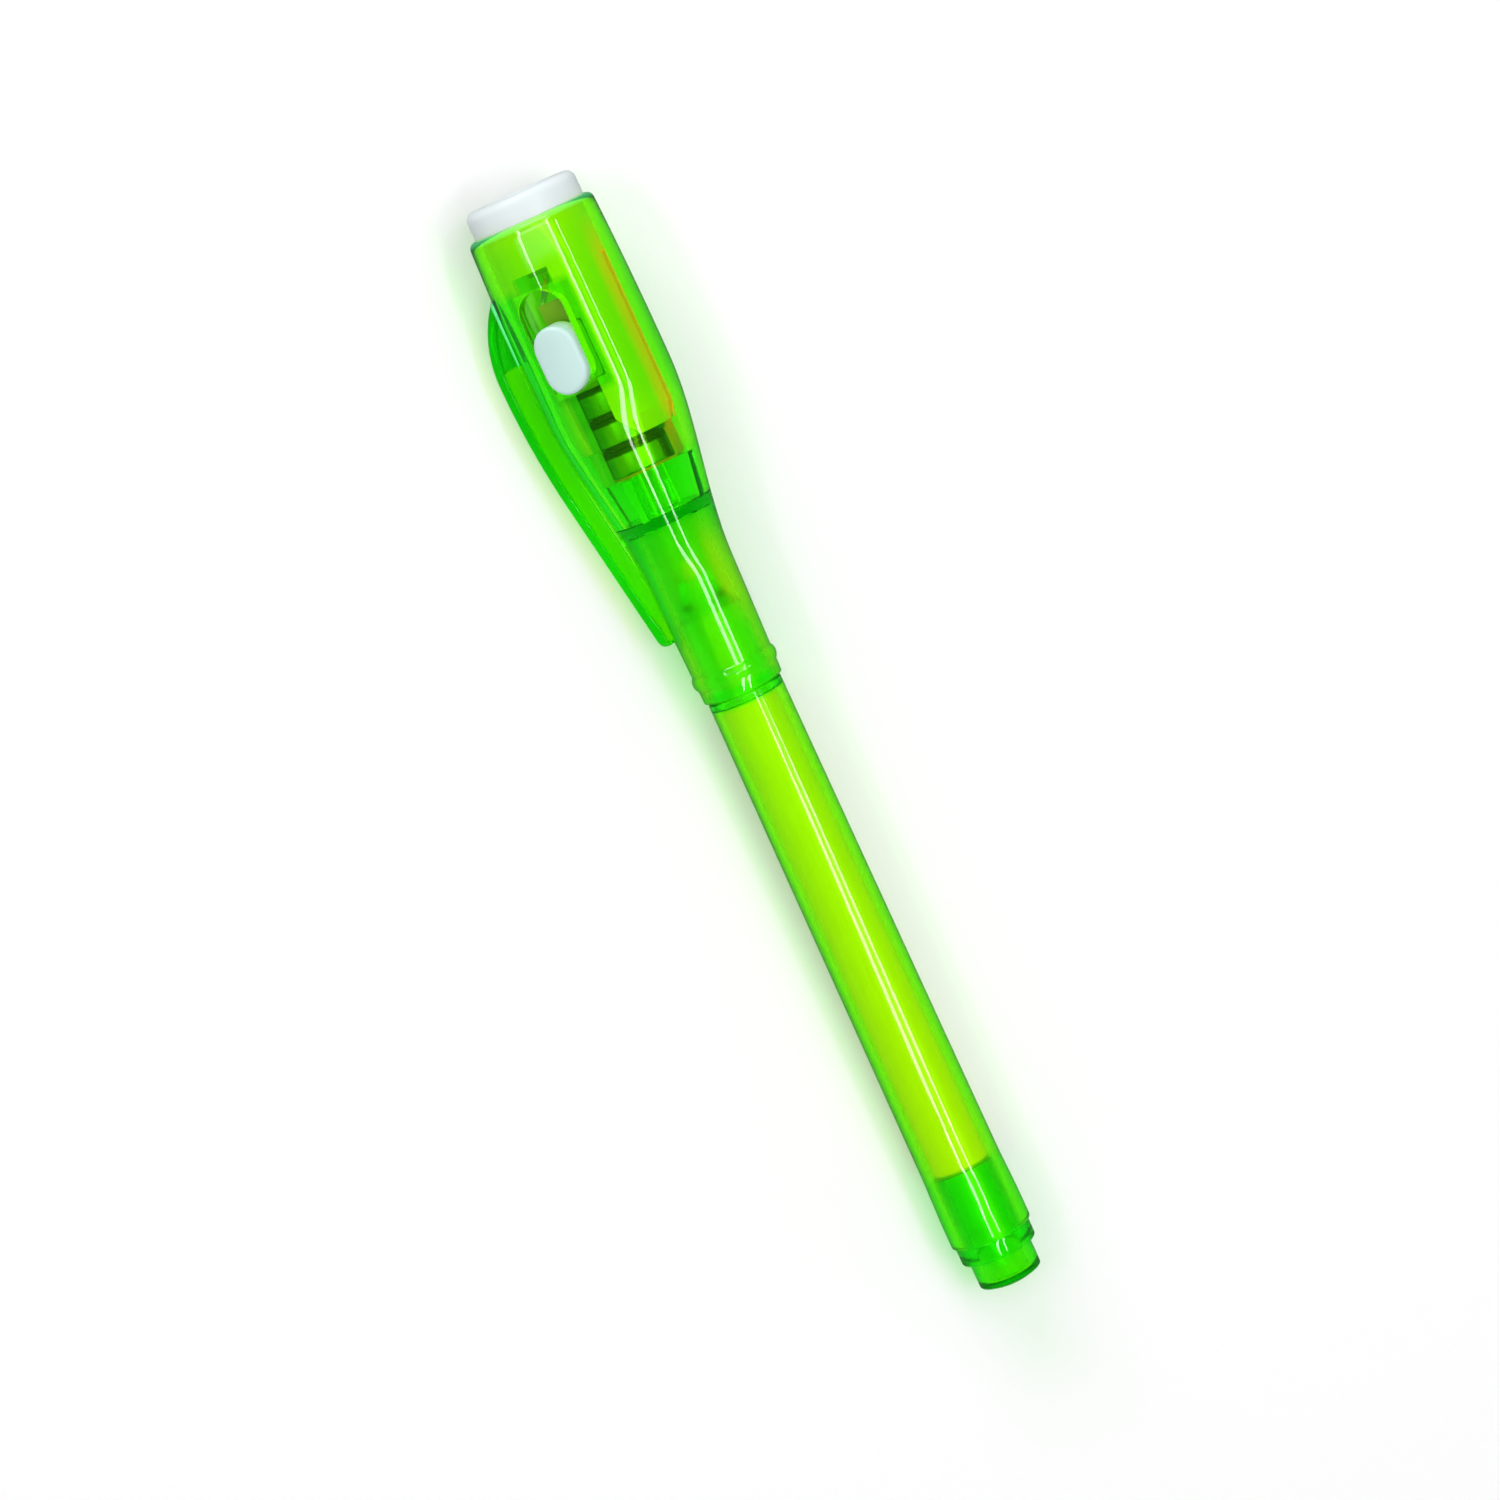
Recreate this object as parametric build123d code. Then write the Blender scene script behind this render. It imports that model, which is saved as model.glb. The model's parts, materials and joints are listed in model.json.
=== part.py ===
from build123d import *
import math
import os

# A marker with invisible ink and a small ultraviolet lamp in its cap. Every piece is modelled along
# X, from the tail at x = 0 to the light end, with the button on +Z and the clip on +Y. The last
# lines lay the whole pen on a table. Sizes are in millimetres, angles in degrees.

# Lengths along the pen, from the tail to the light end
tail_boss_length = 4.0
tail_collar_length = 2.2
barrel_length = 68.3
cap_length = 57.4
bezel_height = 3.1

# Barrel, with the writing section moulded on its front
barrel_front_radius = 4.37
barrel_waist_radius = 4.65
barrel_tail_radius = 4.82
barrel_wall = 0.95
barrel_tail_wall = 1.1
barrel_edge_round = 0.3
flare_length = 8.0
flare_land = 2.0
shoulder_width = 0.5
front_wall = 1.0
section_length = 9.7
section_step = 0.35
section_wall = 1.0
cone_length = 4.3
cone_tip_wall = 0.75

# Tail plug
tail_boss_radius = 3.72
tail_dome_height = 0.8
tail_collar_radius = 4.48
plug_skirt_length = 8.5
plug_wall = 0.9
plug_end_wall = 1.2
plug_fit = 0.03
plug_edge_round = 0.3

# Nib and ink reservoir
nib_radius = 0.9
nib_exposed = 2.4
nib_grip = 8.0
nib_fit = 0.03
reservoir_clearance = 0.08
reservoir_gap = 0.2
film_thickness = 0.12

# Cap shell: stations are measured from its mouth
neck_wall = 0.77
neck_end_station = 14.4
neck_rise = 0.34
belly_station = 37.5
belly_radius = 7.82
rim_radius = 7.4
rim_round = 0.8
mouth_round = 0.3
bead_station = 2.6
bead_width = 1.7
bead_height = 0.3
cap_wall = 1.2
cap_fit = 0.06
bore_taper = 0.023
mouth_gap = 0.1
partition_station = 20.9
partition_thickness = 1.0
cavity_cone_station = 33.0
rib_thickness = 1.0
rib_inner_radius = 2.4
rib_bite = 0.2
rib_count = 4

# Pocket clip, moulded with the shell
clip_width = 5.2
clip_tip_width = 4.2
clip_thickness = 1.15
clip_root_station = 51.2
clip_gap_station = 43.0
clip_peak_station = 41.5
clip_peak_rise = 3.1
clip_bend_station = 26.0
clip_bend_rise = 3.0
clip_tip_station = 7.7
clip_tip_rise = 1.4
clip_nub_length = 2.6
clip_nub_gap = 0.3
clip_root_bite = 0.7
clip_edge_round = 0.4

# Button and its slot
button_length = 7.8
button_width = 5.1
button_rise = 0.7
button_fit = 0.1
button_travel = 0.7
button_edge_round = 0.4
flange_length = 6.6
flange_width = 5.9
flange_thickness = 0.8
flange_round = 0.5
flange_gap = 0.12
slot_extra_length = 4.0

# Light module
module_fit = 0.1
bezel_overhang = 0.3
bezel_round = 1.1
reflector_mouth_radius = 4.3
reflector_floor_radius = 3.0
reflector_depth = 1.9
led_radius = 2.5
led_length = 8.6
led_flange_radius = 2.9
led_flange_thickness = 1.0
led_flat_distance = 2.65
led_recess = 0.6
led_fit = 0.06
lead_size = 0.5
lead_spacing = 2.54
lead_drop = 1.0
window_width = 4.2
window_end_gap = 0.7
window_bevel_length = 2.6
window_bevel_width = 1.4
chamber_radius = 3.5

# Button cells and contacts
cell_radius = 3.95
cell_height = 3.6
cell_count = 3
cell_fit = 0.1
cell_can_height = 3.1
cell_cap_radius = 3.0
cell_gasket_height = 0.2
cell_gasket_width = 0.4
cell_edge_bevel = 0.3
stack_station = 27.4
cradle_height = 4.1
cradle_wall = 0.9
cradle_step_gap = 0.3
cradle_open_depth = 1.6
contact_thickness = 0.3
contact_plate_radius = 3.7
contact_tab_width = 2.4
contact_tab_height = 3.6
contact_tab_gap = 0.31
contact_bend = 0.4
contact_strip_width = 1.4
contact_strip_sink = 0.1
leaf_thickness = 0.25
leaf_width = 3.0
leaf_root_height = 3.6
leaf_end_gap = 3.05
leaf_bend = 0.5
leaf_press_gap = 0.06
switch_gap = 0.6
switch_overlap = 2.6
groove_clearance = 0.15
cut_margin = 1.0

# Stations worked out from the lengths above
x_barrel = tail_boss_length + tail_collar_length
x_mouth = x_barrel + barrel_length
x_rim = x_mouth + cap_length
x_top = x_rim + bezel_height
x_bore_front = x_mouth - front_wall
x_skirt_end = x_barrel + plug_skirt_length
x_section_end = x_mouth + section_length
x_cone_tip = x_section_end + cone_length
x_belly = x_mouth + belly_station
x_partition = x_mouth + partition_station
x_cavity = x_partition + partition_thickness
x_cavity_cone = x_mouth + cavity_cone_station
x_stack = x_mouth + stack_station
x_stack_top = x_stack + cell_count * cell_height
x_leaf = x_stack_top + leaf_thickness
x_led_base = x_top - led_recess - led_length
x_leaf_tip = x_led_base - leaf_end_gap
x_button = x_stack_top + button_length / 2
x_cradle_top = x_stack + cradle_height - contact_thickness
x_cradle_end = x_stack - contact_thickness

# Radii that follow from the fits between the pieces
bore_front_radius = barrel_front_radius - barrel_wall
bore_tail_radius = barrel_waist_radius - barrel_tail_wall
section_root_radius = barrel_front_radius - shoulder_width
section_end_radius = section_root_radius - bore_taper * section_length
section_bore_radius = section_end_radius - section_wall
nib_hole_radius = nib_radius + nib_fit
reservoir_radius = bore_front_radius - reservoir_clearance
mouth_bore_radius = section_root_radius + cap_fit
neck_mouth_radius = mouth_bore_radius + neck_wall
neck_end_radius = neck_mouth_radius + neck_rise
module_bore_radius = rim_radius - cap_wall
carrier_radius = module_bore_radius - module_fit
bezel_radius = module_bore_radius + bezel_overhang
cell_bore_radius = cell_radius + cell_fit
cradle_radius = cell_bore_radius + cradle_wall

# Heights above the pen's axis in the switch
flange_corner = flange_width / 2
flange_top = math.sqrt((module_bore_radius - flange_gap) ** 2 - flange_corner**2)
flange_bottom = flange_top - flange_thickness
leaf_tip_height = flange_bottom - leaf_press_gap
button_ledge = flange_bottom - button_travel - button_fit


def bore_radius(x):
    """Radius of the barrel's drafted bore at x."""
    share = (x - x_barrel) / (x_bore_front - x_barrel)
    return bore_tail_radius + share * (bore_front_radius - bore_tail_radius)


def cap_radius(station):
    """Outer radius of the cap shell at a distance from its mouth."""
    if station <= neck_end_station:
        return neck_mouth_radius + neck_rise * station / neck_end_station
    if station <= belly_station:
        span = belly_station - neck_end_station
        t = (station - neck_end_station) / span
        handle = neck_end_radius + neck_rise / neck_end_station * span / 3
        from_neck = (1 - t) ** 3 * neck_end_radius + 3 * (1 - t) ** 2 * t * handle
        return from_neck + (3 * (1 - t) * t**2 + t**3) * belly_radius
    share = (station - belly_station) / (cap_length - belly_station)
    return belly_radius - (belly_radius - rim_radius) * share**2


def cavity_radius(x):
    """Radius of the cap's upper cavity at x, a cone below the module's straight bore."""
    low = cap_radius(partition_station + partition_thickness) - cap_wall
    share = (x - x_cavity) / (x_cavity_cone - x_cavity)
    return min(module_bore_radius, low + share * (module_bore_radius - low))


def lower_bore_radius(x):
    """Radius of the drafted bore that slides over the writing section."""
    return mouth_bore_radius - bore_taper * (x - x_mouth)


# The bottom contact's tab stands this far from the axis, clear of the cap's cone
tab_corner_radius = cavity_radius(x_cradle_end) - contact_tab_gap
contact_tab_reach = math.sqrt(tab_corner_radius**2 - (contact_tab_width / 2) ** 2)

# The contact's narrow strip lies just below the carrier's surface and ends beside the lamp's lead
strip_face = carrier_radius - contact_strip_sink
strip_back = strip_face - contact_thickness
x_strip_end = x_led_base - lead_drop + lead_size


def turned(outline):
    """A solid of revolution about X, from a closed outline drawn in X and radius."""
    return revolve(make_face(outline), Axis.X)


def rounded(face, corners, radius):
    """The face with its corners nearest to the given points rounded off."""
    picked = [face.vertices().sort_by_distance((x, y, 0))[0] for x, y in corners]
    return fillet(picked, radius)


def block(x_range, y_range, z_range):
    """A box between the given limits."""
    limits = (x_range, y_range, z_range)
    size = [high - low for low, high in limits]
    middle = [(high + low) / 2 for low, high in limits]
    return Pos(*middle) * Box(*size)


def strip(points, bend, thickness, width, plane):
    """A flat strip bent along a line of points in a plane, and centred on that plane."""
    path = FilletPolyline(*points, radius=bend)
    return extrude(plane * trace(path, thickness), amount=width / 2, both=True)


def barrel():
    """The tube with its flared tail, shoulder, tapered section and nib cone."""
    x_flare = x_barrel + flare_land
    x_waist = x_flare + flare_length
    handle = flare_length / 3
    flare = Bezier(
        (x_flare, barrel_tail_radius),
        (x_flare + handle, barrel_tail_radius),
        (x_waist - handle, barrel_waist_radius),
        (x_waist, barrel_waist_radius),
    )
    rest = Polyline(
        (x_waist, barrel_waist_radius),
        (x_mouth, barrel_front_radius),
        (x_mouth, section_root_radius),
        (x_section_end, section_end_radius),
        (x_section_end, section_end_radius - section_step),
        (x_cone_tip, nib_radius + cone_tip_wall),
        (x_cone_tip, nib_hole_radius),
        (x_section_end, nib_hole_radius),
        (x_section_end, section_bore_radius),
        (x_bore_front, section_bore_radius),
        (x_bore_front, bore_front_radius),
        (x_barrel, bore_tail_radius),
        (x_barrel, barrel_tail_radius),
        (x_flare, barrel_tail_radius),
    )
    face = make_face([flare, *rest.edges()])
    corners = [(x_barrel, barrel_tail_radius), (x_mouth, barrel_front_radius)]
    return revolve(rounded(face, corners, barrel_edge_round), Axis.X)


def tail_plug():
    """The stepped plug: domed boss, collar and a hollow skirt pressed into the barrel."""
    cavity_radius_in_plug = bore_radius(x_skirt_end) - plug_fit - plug_wall
    dome = TangentArc((0, 0), (tail_dome_height, tail_boss_radius), tangent=(0, 1))
    rest = Polyline(
        (tail_dome_height, tail_boss_radius),
        (tail_boss_length, tail_boss_radius),
        (tail_boss_length, tail_collar_radius),
        (x_barrel, tail_collar_radius),
        (x_barrel, bore_tail_radius - plug_fit),
        (x_skirt_end, bore_radius(x_skirt_end) - plug_fit),
        (x_skirt_end, cavity_radius_in_plug),
        (plug_end_wall, cavity_radius_in_plug),
        (plug_end_wall, 0),
        (0, 0),
    )
    face = make_face([dome, *rest.edges()])
    corners = [(tail_dome_height, tail_boss_radius), (tail_boss_length, tail_collar_radius)]
    return revolve(rounded(face, corners, plug_edge_round), Axis.X)


def reservoir_span():
    """Where the ink reservoir starts and ends along the pen."""
    return x_skirt_end + reservoir_gap, x_bore_front - reservoir_gap


def ink_reservoir():
    """The fibre rod, with the hole that the nib's root is pushed into."""
    tail, front = reservoir_span()
    radius = reservoir_radius - film_thickness
    outline = Polyline(
        (tail, 0),
        (tail, radius),
        (front, radius),
        (front, nib_hole_radius),
        (front - nib_grip, nib_hole_radius),
        (front - nib_grip, 0),
        close=True,
    )
    return turned(outline)


def reservoir_film():
    """The film sleeve round the fibre rod."""
    tail, front = reservoir_span()
    inner = reservoir_radius - film_thickness
    outline = Polyline(
        (tail, inner),
        (tail, reservoir_radius),
        (front, reservoir_radius),
        (front, inner),
        close=True,
    )
    return turned(outline)


def nib():
    """The fibre nib, with a bullet-shaped point."""
    x_root = reservoir_span()[1] - nib_grip
    x_point = x_cone_tip + nib_exposed
    x_bullet = x_point - 2 * nib_radius
    bullet = Bezier((x_bullet, nib_radius), (x_point, nib_radius), (x_point, nib_radius / 2), (x_point, 0))
    rest = Polyline((x_point, 0), (x_root, 0), (x_root, nib_radius), (x_bullet, nib_radius))
    return turned([bullet, *rest.edges()])


def clip():
    """The pocket clip: a bowed blade on a root block, with a nub at its tip."""

    def above(station, rise):
        return x_mouth + station, cap_radius(station) + rise

    peak = above(clip_peak_station, clip_peak_rise)
    bend = above(clip_bend_station, clip_bend_rise)
    tip = above(clip_tip_station, clip_tip_rise)
    root = above(clip_root_station, -clip_root_bite)
    web_foot = above(clip_gap_station, -clip_root_bite)
    web_top = x_mouth + clip_gap_station, peak[1] - clip_thickness
    under_bend = bend[0], bend[1] - clip_thickness
    under_peak = peak[0], peak[1] - clip_thickness
    nub_foot = above(clip_tip_station + clip_nub_length / 2, clip_nub_gap)
    nub_start = above(clip_tip_station, clip_nub_gap)
    lift = (bend[1] - tip[1]) / (bend[0] - tip[0])
    nub_end = nub_foot[0] + clip_nub_length, under_bend[1] - lift * (bend[0] - nub_foot[0] - clip_nub_length)
    crown = TangentArc(peak, root, tangent=(1, 0))
    bow = TangentArc(peak, bend, tangent=(-1, 0))
    under_bow = TangentArc(under_peak, under_bend, tangent=(-1, 0))
    tip_side = Polyline(bend, tip, nub_start, nub_foot, nub_end, under_bend)
    web = Polyline(under_peak, web_top, web_foot, root)
    side = make_face([crown, bow, under_bow, *tip_side.edges(), *web.edges()])
    side = rounded(side, [nub_start, nub_foot, nub_end, web_top], clip_edge_round)
    plan = Polyline(
        (x_mouth + clip_root_station, clip_width / 2),
        (x_mouth + clip_tip_station, clip_tip_width / 2),
        (x_mouth + clip_tip_station, -clip_tip_width / 2),
        (x_mouth + clip_root_station, -clip_width / 2),
        close=True,
    )
    tip_corners = [(x_mouth + clip_tip_station, end * clip_tip_width / 2) for end in (-1, 1)]
    plan_face = rounded(make_face(plan), tip_corners, clip_thickness)
    blade = extrude(side, amount=clip_width, both=True)
    blade &= extrude(Plane.XZ * plan_face, amount=-2 * peak[1])
    outer_edges = [face.edges() for face in blade.faces() if face.normal_at(face.center()).Y > 0]
    rim = []
    for edge in blade.edges():
        owners = [edges for edges in outer_edges if any(edge.is_same(other) for other in edges)]
        if len(owners) == 1 and edge.center().X < root[0] - clip_root_bite:
            rim.append(edge)
    return fillet(rim, clip_edge_round)


def cap_shell():
    """The cap: neck, swelling head, partition, stop ribs, button slot and clip."""

    def at(station, radius):
        return x_mouth + station, radius

    def on_neck(station):
        return at(station, cap_radius(station))

    mouth = x_mouth + mouth_gap
    handle = (belly_station - neck_end_station) / 3
    neck_end = at(neck_end_station, neck_end_radius)
    belly = at(belly_station, belly_radius)
    bead_low = on_neck(bead_station - bead_width / 2)
    bead_top = at(bead_station, cap_radius(bead_station) + bead_height)
    bead_high = on_neck(bead_station + bead_width / 2)
    lip = mouth, neck_mouth_radius
    edges = [
        Line(lip, bead_low),
        ThreePointArc(bead_low, bead_top, bead_high),
        Line(bead_high, neck_end),
        Bezier(
            neck_end,
            at(neck_end_station + handle, neck_end_radius + neck_rise / neck_end_station * handle),
            at(belly_station - handle, belly_radius),
            belly,
        ),
        TangentArc(belly, (x_rim, rim_radius), tangent=(1, 0)),
    ]
    inside = Polyline(
        (x_rim, rim_radius),
        (x_rim, module_bore_radius),
        (x_cavity_cone, module_bore_radius),
        (x_cavity, cavity_radius(x_cavity)),
        (x_cavity, 0),
        (x_partition, 0),
        (x_partition, lower_bore_radius(x_partition)),
        (mouth, lower_bore_radius(mouth)),
        lip,
    )
    face = make_face([*edges, *inside.edges()])
    face = rounded(face, [(x_rim, rim_radius)], rim_round)
    face = rounded(face, [lip], mouth_round)
    shell = revolve(face, Axis.X)
    rib_outer = cavity_radius(x_cradle_end) + rib_bite
    half_rib = rib_thickness / 2
    rib = block((x_cavity, x_cradle_end), (rib_inner_radius, rib_outer), (-half_rib, half_rib))
    for turn in range(rib_count):
        shell += Rot(X=turn * 360 / rib_count) * rib
    slot_length = button_length + slot_extra_length + 2 * button_fit
    slot_middle = x_button + slot_extra_length / 2
    slot = Pos(slot_middle, 0, 0) * SlotOverall(slot_length, button_width + 2 * button_fit)
    return shell + clip() - extrude(slot, amount=2 * belly_radius)


def light_carrier():
    """The white tube: bezel, lamp seat, switch chamber, cell bore, cradle and side window."""
    x_flange_top = x_led_base + led_flange_thickness + led_fit
    x_reflector = x_top - reflector_depth
    led_bore_radius = led_radius + led_fit
    flange_bore_radius = led_flange_radius + led_fit
    cone_foot = cavity_radius(x_cradle_top) - cradle_step_gap
    outline = Polyline(
        (x_top, reflector_mouth_radius),
        (x_top, bezel_radius),
        (x_rim, bezel_radius),
        (x_rim, carrier_radius),
        (x_cavity_cone + cradle_step_gap, carrier_radius),
        (x_cradle_top, cone_foot),
        (x_cradle_top, cradle_radius),
        (x_cradle_end, cradle_radius),
        (x_cradle_end, cell_bore_radius),
        (x_leaf, cell_bore_radius),
        (x_leaf, chamber_radius),
        (x_led_base, chamber_radius),
        (x_led_base, flange_bore_radius),
        (x_flange_top, flange_bore_radius),
        (x_flange_top, led_bore_radius),
        (x_reflector, led_bore_radius),
        (x_reflector, reflector_floor_radius),
        close=True,
    )
    face = rounded(make_face(outline), [(x_top, bezel_radius)], bezel_round)
    carrier = revolve(face, Axis.X)
    half_window = window_width / 2
    half_pocket = flange_width / 2 + button_fit
    half_lead_way = lead_size / 2 + groove_clearance
    half_groove = contact_strip_width / 2 + groove_clearance
    pocket_reach = flange_length / 2 + button_fit
    pocket_range = (x_button - pocket_reach, x_button + pocket_reach)
    tab_groove = contact_tab_reach - contact_thickness - groove_clearance
    strip_groove = strip_back - groove_clearance
    outside = bezel_radius + cut_margin
    x_below = x_cradle_end - cut_margin
    x_lead_turn = x_led_base - lead_drop
    turn_range = (x_lead_turn - half_lead_way, x_lead_turn + half_lead_way)
    x_groove_end = x_strip_end + groove_clearance
    bevel = Polyline(
        (x_cradle_top, -half_window),
        (x_cradle_top + window_bevel_length, -half_window),
        (x_cradle_top, -half_window - window_bevel_width),
        close=True,
    )
    cuts = [
        block((x_below, x_led_base + window_end_gap), (-half_window, half_window), (0, outside)),
        block(pocket_range, (-half_pocket, half_pocket), (button_ledge, outside)),
        block((x_below, x_cradle_top), (-outside, half_window), (-cradle_open_depth, outside)),
        block((x_below, x_cavity_cone), (-outside, -tab_groove), (-half_groove, half_groove)),
        block((x_below, x_groove_end), (-outside, -strip_groove), (-half_groove, half_groove)),
        block(turn_range, (-outside, 0), (-half_lead_way, half_lead_way)),
        extrude(make_face(bevel), amount=outside),
    ]
    for cut in cuts:
        carrier -= cut
    return carrier


def uv_led():
    """The lamp's round body, with its domed end, its flange and the flange's flat."""
    x_dome = x_led_base + led_length - led_radius
    x_flange = x_led_base + led_flange_thickness
    dome = RadiusArc((x_dome, led_radius), (x_dome + led_radius, 0), led_radius)
    rest = Polyline(
        (x_dome + led_radius, 0),
        (x_led_base, 0),
        (x_led_base, led_flange_radius),
        (x_flange, led_flange_radius),
        (x_flange, led_radius),
        (x_dome, led_radius),
    )
    body = turned([dome, *rest.edges()])
    flat_reach = 2 * led_flange_radius
    flat = block((x_led_base, x_flange), (-flat_reach, -led_flat_distance), (-flat_reach, flat_reach))
    return body - flat


def led_anode_lead():
    """The lead that ends under the switch leaf, and is touched when the button is pressed."""
    height = leaf_tip_height - leaf_thickness - switch_gap - lead_size / 2
    points = [
        (x_led_base, 0),
        (x_led_base - lead_drop, 0),
        (x_leaf_tip, height),
        (x_leaf_tip - switch_overlap, height),
    ]
    plane = Plane.XZ.offset(-lead_spacing / 2)
    return strip(points, lead_size, lead_size, lead_size, plane)


def led_cathode_lead():
    """The lead that is bent out through the carrier's wall, and meets the contact's strip."""
    points = [
        (x_led_base, -lead_spacing / 2),
        (x_led_base - lead_drop, -lead_spacing / 2),
        (x_led_base - lead_drop, -strip_back),
    ]
    return strip(points, lead_size, lead_size, lead_size, Plane.XY)


def cell_can(x_start):
    """A button cell's steel can, with both edges bevelled."""
    x_end = x_start + cell_can_height
    face_radius = cell_radius - cell_edge_bevel
    outline = Polyline(
        (x_start, 0),
        (x_start, face_radius),
        (x_start + cell_edge_bevel, cell_radius),
        (x_end - cell_edge_bevel, cell_radius),
        (x_end, face_radius),
        (x_end, 0),
        close=True,
    )
    return turned(outline)


def cell_gasket(x_start):
    """The sealing ring between a cell's can and its cap."""
    x_low = x_start + cell_can_height
    x_high = x_low + cell_gasket_height
    outer = cell_cap_radius + cell_gasket_width
    outline = Polyline(
        (x_low, cell_cap_radius), (x_low, outer), (x_high, outer), (x_high, cell_cap_radius), close=True
    )
    return turned(outline)


def cell_cap(x_start):
    """A cell's raised cap, which meets the next cell or the leaf."""
    x_low = x_start + cell_can_height
    x_high = x_start + cell_height
    radius = cell_cap_radius
    outline = Polyline((x_low, 0), (x_low, radius), (x_high, radius), (x_high, 0), close=True)
    return turned(outline)


def switch_leaf():
    """The sprung strip: a pad on the top cell and an arm that rises to the button."""
    x_middle = x_stack_top + leaf_thickness / 2
    pad_foot = -math.sqrt(cell_bore_radius**2 - (leaf_width / 2) ** 2) + cell_fit
    points = [
        (x_middle, pad_foot),
        (x_middle, leaf_root_height),
        (x_leaf_tip, leaf_tip_height - leaf_thickness / 2),
    ]
    return strip(points, leaf_bend, leaf_thickness, leaf_width, Plane.XZ)


def bottom_contact():
    """The plate under the cells, a tab folded up beside them, and a strip from there to the lamp's lead."""
    half = contact_thickness / 2
    x_middle = x_cradle_end + half
    tab_line = half - contact_tab_reach
    strip_line = half - strip_face
    fold = [(x_middle, 0), (x_middle, tab_line), (x_cradle_end + contact_tab_height, tab_line)]
    rise = [(x_cavity_cone, strip_line), (x_strip_end, strip_line)]
    tab = strip(fold, contact_bend, contact_thickness, contact_tab_width, Plane.XY)
    side_strip = strip([*fold, *rise], contact_bend, contact_thickness, contact_strip_width, Plane.XY)
    plate = Pos(x_middle, 0, 0) * Rot(Y=90) * Cylinder(contact_plate_radius, contact_thickness)
    return plate + tab + side_strip


def push_button():
    """The oval button: a crowned top that follows the head, on a flange held under the shell."""
    crown_radius = cap_radius(x_button - x_mouth) + button_rise
    oval = Pos(x_button, 0, flange_top) * SlotOverall(button_length, button_width)
    crown = Pos(x_button, 0, 0) * Rot(Y=90) * Cylinder(crown_radius, 2 * button_length)
    top = extrude(oval, amount=crown_radius) & crown
    crown_edges = top.faces().sort_by(Axis.Z)[-1].edges()
    flange = Pos(x_button, 0, flange_bottom) * RectangleRounded(flange_length, flange_width, flange_round)
    return fillet(crown_edges, button_edge_round) + extrude(flange, amount=flange_thickness)


def lying():
    """The placement that lays the pen on a table: belly, tail and the clip's edge all touch it."""
    x_tail_contact = x_barrel + barrel_edge_round
    rise = (belly_radius - barrel_tail_radius) / (x_belly - x_tail_contact)
    pitch = math.degrees(math.asin(rise))
    x_peak = x_mouth + clip_peak_station
    axis_height = belly_radius + (x_peak - x_belly) * rise
    clip_reach = cap_radius(clip_peak_station) + clip_peak_rise
    share = (clip_peak_station - clip_tip_station) / (clip_root_station - clip_tip_station)
    half_width = (clip_tip_width + share * (clip_width - clip_tip_width)) / 2
    corner = math.hypot(clip_reach, half_width)
    roll = math.degrees(math.asin(axis_height / corner) - math.atan2(half_width, clip_reach))
    return Rot(Y=-pitch) * Rot(X=-roll)


pieces = {
    "barrel": barrel(),
    "tail_plug": tail_plug(),
    "ink_reservoir": ink_reservoir(),
    "reservoir_film": reservoir_film(),
    "nib": nib(),
    "cap_shell": cap_shell(),
    "light_carrier": light_carrier(),
    "uv_led": uv_led(),
    "led_anode_lead": led_anode_lead(),
    "led_cathode_lead": led_cathode_lead(),
    "switch_leaf": switch_leaf(),
    "bottom_contact": bottom_contact(),
    "push_button": push_button(),
}
for number in range(cell_count):
    x_cell = x_stack + number * cell_height
    pieces[f"cell_can_{number + 1}"] = cell_can(x_cell)
    pieces[f"cell_gasket_{number + 1}"] = cell_gasket(x_cell)
    pieces[f"cell_cap_{number + 1}"] = cell_cap(x_cell)

# The origin is on the table, under the middle of the lying pen
placement = lying()
laid = {name: placement * piece for name, piece in pieces.items()}
extent = Compound(list(laid.values())).bounding_box()
to_origin = Pos(-extent.center().X, -extent.center().Y, -extent.min.Z)
os.makedirs("parts", exist_ok=True)
for name, piece in laid.items():
    export_step(to_origin * piece, f"parts/{name}.step")
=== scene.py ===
# %% [markdown]
# A marker with a lamp in its cap
#
# The pen lies on a white table. Its barrel and its fat cap are moulded in clear green plastic, so most of
# what one sees is not on the surface: it is the white fibre store in the barrel, and the white lamp holder
# in the cap, seen through a green wall. This lesson builds each piece as a surface worked out with numpy,
# gives the plastic a real thickness and lets the light do most of the rest. Where that falls short, shade
# and glows are painted on by place.
#
# First comes the frame: the imported CAD model, which says where everything sits.

# %% Load the frame
import json
import math

import bmesh
import bpy
import numpy as np
from mathutils import Matrix, Vector


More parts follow.
